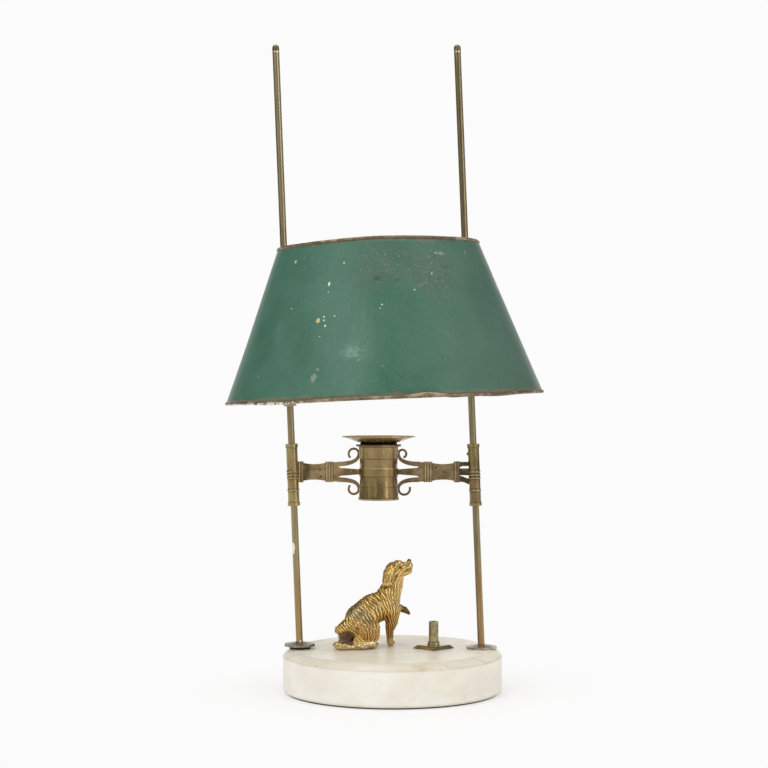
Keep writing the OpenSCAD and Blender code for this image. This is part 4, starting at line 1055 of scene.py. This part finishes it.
def make_dog():
    """The sitting dog: blobs melted to one skin, face and rump cut in, coat combed, gilded."""
    bm = bmesh.new()
    for chain in DOG_BODY + DOG_LEGS:
        add_chain(bm, chain)
    for chain in DOG_HEAD:
        add_chain(bm, chain, frame=HEAD_PLACE)
    for chain in DOG_GROUND:
        add_chain(bm, chain, GROUND_FLAT)
    for lump in DOG_LUMPS:
        add_chain(bm, [(*lump, 1)], LUMP_FLAT)
    bm = melted(bm, "dog_blobs", SKIN_GRAIN)
    bm.verts.layers.float.new("relief")
    for _ in range(3):
        bmesh.ops.smooth_vert(bm, verts=bm.verts[:], factor=0.5,
                              use_axis_x=True, use_axis_y=True, use_axis_z=True)
    bm.normal_update()
    for side in (-1, 1):
        cut_face(bm, side)
    bm.normal_update()
    comb_coat(bm)
    for side in (-1, 1):
        ball = HEAD_PLACE @ Matrix.Translation((EYE_BALL[0], side * EYE_BALL[1], EYE_BALL[2]))
        bmesh.ops.create_icosphere(bm, subdivisions=3, radius=EYE_BALL_R, matrix=ball)
    bmesh.ops.bisect_plane(bm, geom=bm.verts[:] + bm.edges[:] + bm.faces[:], plane_co=(0, 0, 0.02),
                           plane_no=(0, 0, -1), clear_outer=True)
    bmesh.ops.holes_fill(bm, edges=[e for e in bm.edges if e.is_boundary], sides=0)
    bmesh.ops.triangulate(bm, faces=[f for f in bm.faces if len(f.verts) > 4])
    bmesh.ops.transform(bm, matrix=DOG_PLACE, verts=bm.verts[:])
    bmesh.ops.recalc_face_normals(bm, faces=bm.faces[:])
    made = piece_from(bm, "gilt_dog", "stand", ["gilt"])
    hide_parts("dog_figure")


make_baize()
make_shade()
make_rim("shade_rim_top", "shade_top_wire", SHADE_TOP_R, SHADE_H, "rim")
make_rim("shade_rim_low", "shade_bottom_wire", SHADE_LOW_R, 0, "low_rim")
make_dog()


# Floor, light and camera.

WHITE = (1, 1, 1, 1)
BACKDROP = (0.97, 0.97, 0.97, 1)
FLOOR_HALF = 6.0
SKY_STRENGTH = 0.74
LAMP_TARGET = (0, 0, 0.2)
# Lamps: name, place, breadth and height, watts.
LAMPS = [
    ("soft_left", (-1.14, -1.24, 1.45), (1.3, 1.3), 10.2),
    ("soft_right", (1.3, -1.1, 0.8), (0.35, 1.2), 4.0),
    ("soft_top", (0, 0.0, 1.7), (1.4, 1.4), 13.4),
]
CAMERA_PLACE = (-0.0065, -1.315, 0.221)
SENSOR_MM, LENS_MM, LENS_RISE, NEAR_CLIP = 36, 81.1, 0.0208, 0.05


def make_floor():
    """A white table that fades into the white behind it and keeps the shadow."""
    bm = bmesh.new()
    bmesh.ops.create_grid(bm, x_segments=1, y_segments=1, size=FLOOR_HALF)
    made = added("floor", mesh_of(bm, "floor"))
    paper, tree, skin, where = new_material("white_table")
    dress(tree, skin, (0.9, 0.9, 0.9, 1), 0.5)
    glow = put(tree, "ShaderNodeEmission", {"Color": BACKDROP, "Strength": 1.0})
    rays = put(tree, "ShaderNodeLightPath").outputs
    seen = plus(tree, rays["Is Camera Ray"], rays["Is Glossy Ray"])
    seen = plus(tree, seen, rays["Is Transmission Ray"], clamp=True)
    fade = times(tree, ramp(tree, vectors(tree, "LENGTH", where), -0.06, 0.22), seen)
    both = put(tree, "ShaderNodeMixShader", {0: fade, 1: skin.outputs[0], 2: glow.outputs[0]})
    tree.links.new(both.outputs[0], tree.nodes["Material Output"].inputs["Surface"])
    made.data.materials.append(paper)


def make_world():
    """Even studio light. The eye sees a white backdrop, and the metal a pale wall and dim sides too."""
    world = bpy.data.worlds.new("studio")
    bpy.context.scene.world = world
    world.use_nodes = True
    tree = world.node_tree
    tree.nodes.clear()
    rays = put(tree, "ShaderNodeLightPath").outputs
    way = put(tree, "ShaderNodeTexCoord").outputs["Generated"]
    back = ramp(tree, axis_of(tree, way, "Y"), 0.8, 0.95, 0.0, 0.97)
    side = ramp(tree, axis_of(tree, way, "X"), 0.4, 0.66, 0.38, 0.8)
    side = times(tree, side, ramp(tree, axis_of(tree, way, "Y"), -0.05, 0.4, 1.0, 0.2))
    shine = put(tree, "ShaderNodeBackground", {"Color": WHITE, "Strength": most(tree, back, side)})
    light = put(tree, "ShaderNodeBackground", {"Color": WHITE, "Strength": SKY_STRENGTH})
    white = put(tree, "ShaderNodeBackground", {"Color": BACKDROP, "Strength": 1.0})
    mirror = plus(tree, rays["Is Glossy Ray"], rays["Is Transmission Ray"], clamp=True)
    first = put(tree, "ShaderNodeMixShader", {0: mirror, 1: light.outputs[0], 2: shine.outputs[0]})
    both = put(tree, "ShaderNodeMixShader",
               {0: rays["Is Camera Ray"], 1: first.outputs[0], 2: white.outputs[0]})
    out = put(tree, "ShaderNodeOutputWorld")
    tree.links.new(both.outputs[0], out.inputs["Surface"])


def make_lamp(name, place, size, power):
    lamp = bpy.data.lights.new(name, "AREA")
    lamp.shape = "RECTANGLE"
    lamp.size, lamp.size_y = size
    lamp.energy = power
    made = added(name, lamp)
    made.location = place
    made.rotation_euler = (Vector(LAMP_TARGET) - Vector(place)).to_track_quat("-Z", "Y").to_euler()


def make_camera():
    lens = bpy.data.cameras.new("camera")
    lens.sensor_width = SENSOR_MM
    lens.lens = LENS_MM
    lens.shift_y = LENS_RISE
    lens.clip_start = NEAR_CLIP
    made = added("camera", lens)
    made.location = CAMERA_PLACE
    made.rotation_euler = (math.radians(90), 0, 0)
    bpy.context.scene.camera = made


make_floor()
make_world()
for lamp_row in LAMPS:
    make_lamp(*lamp_row)
make_camera()
bpy.context.scene.view_settings.view_transform = "Standard"
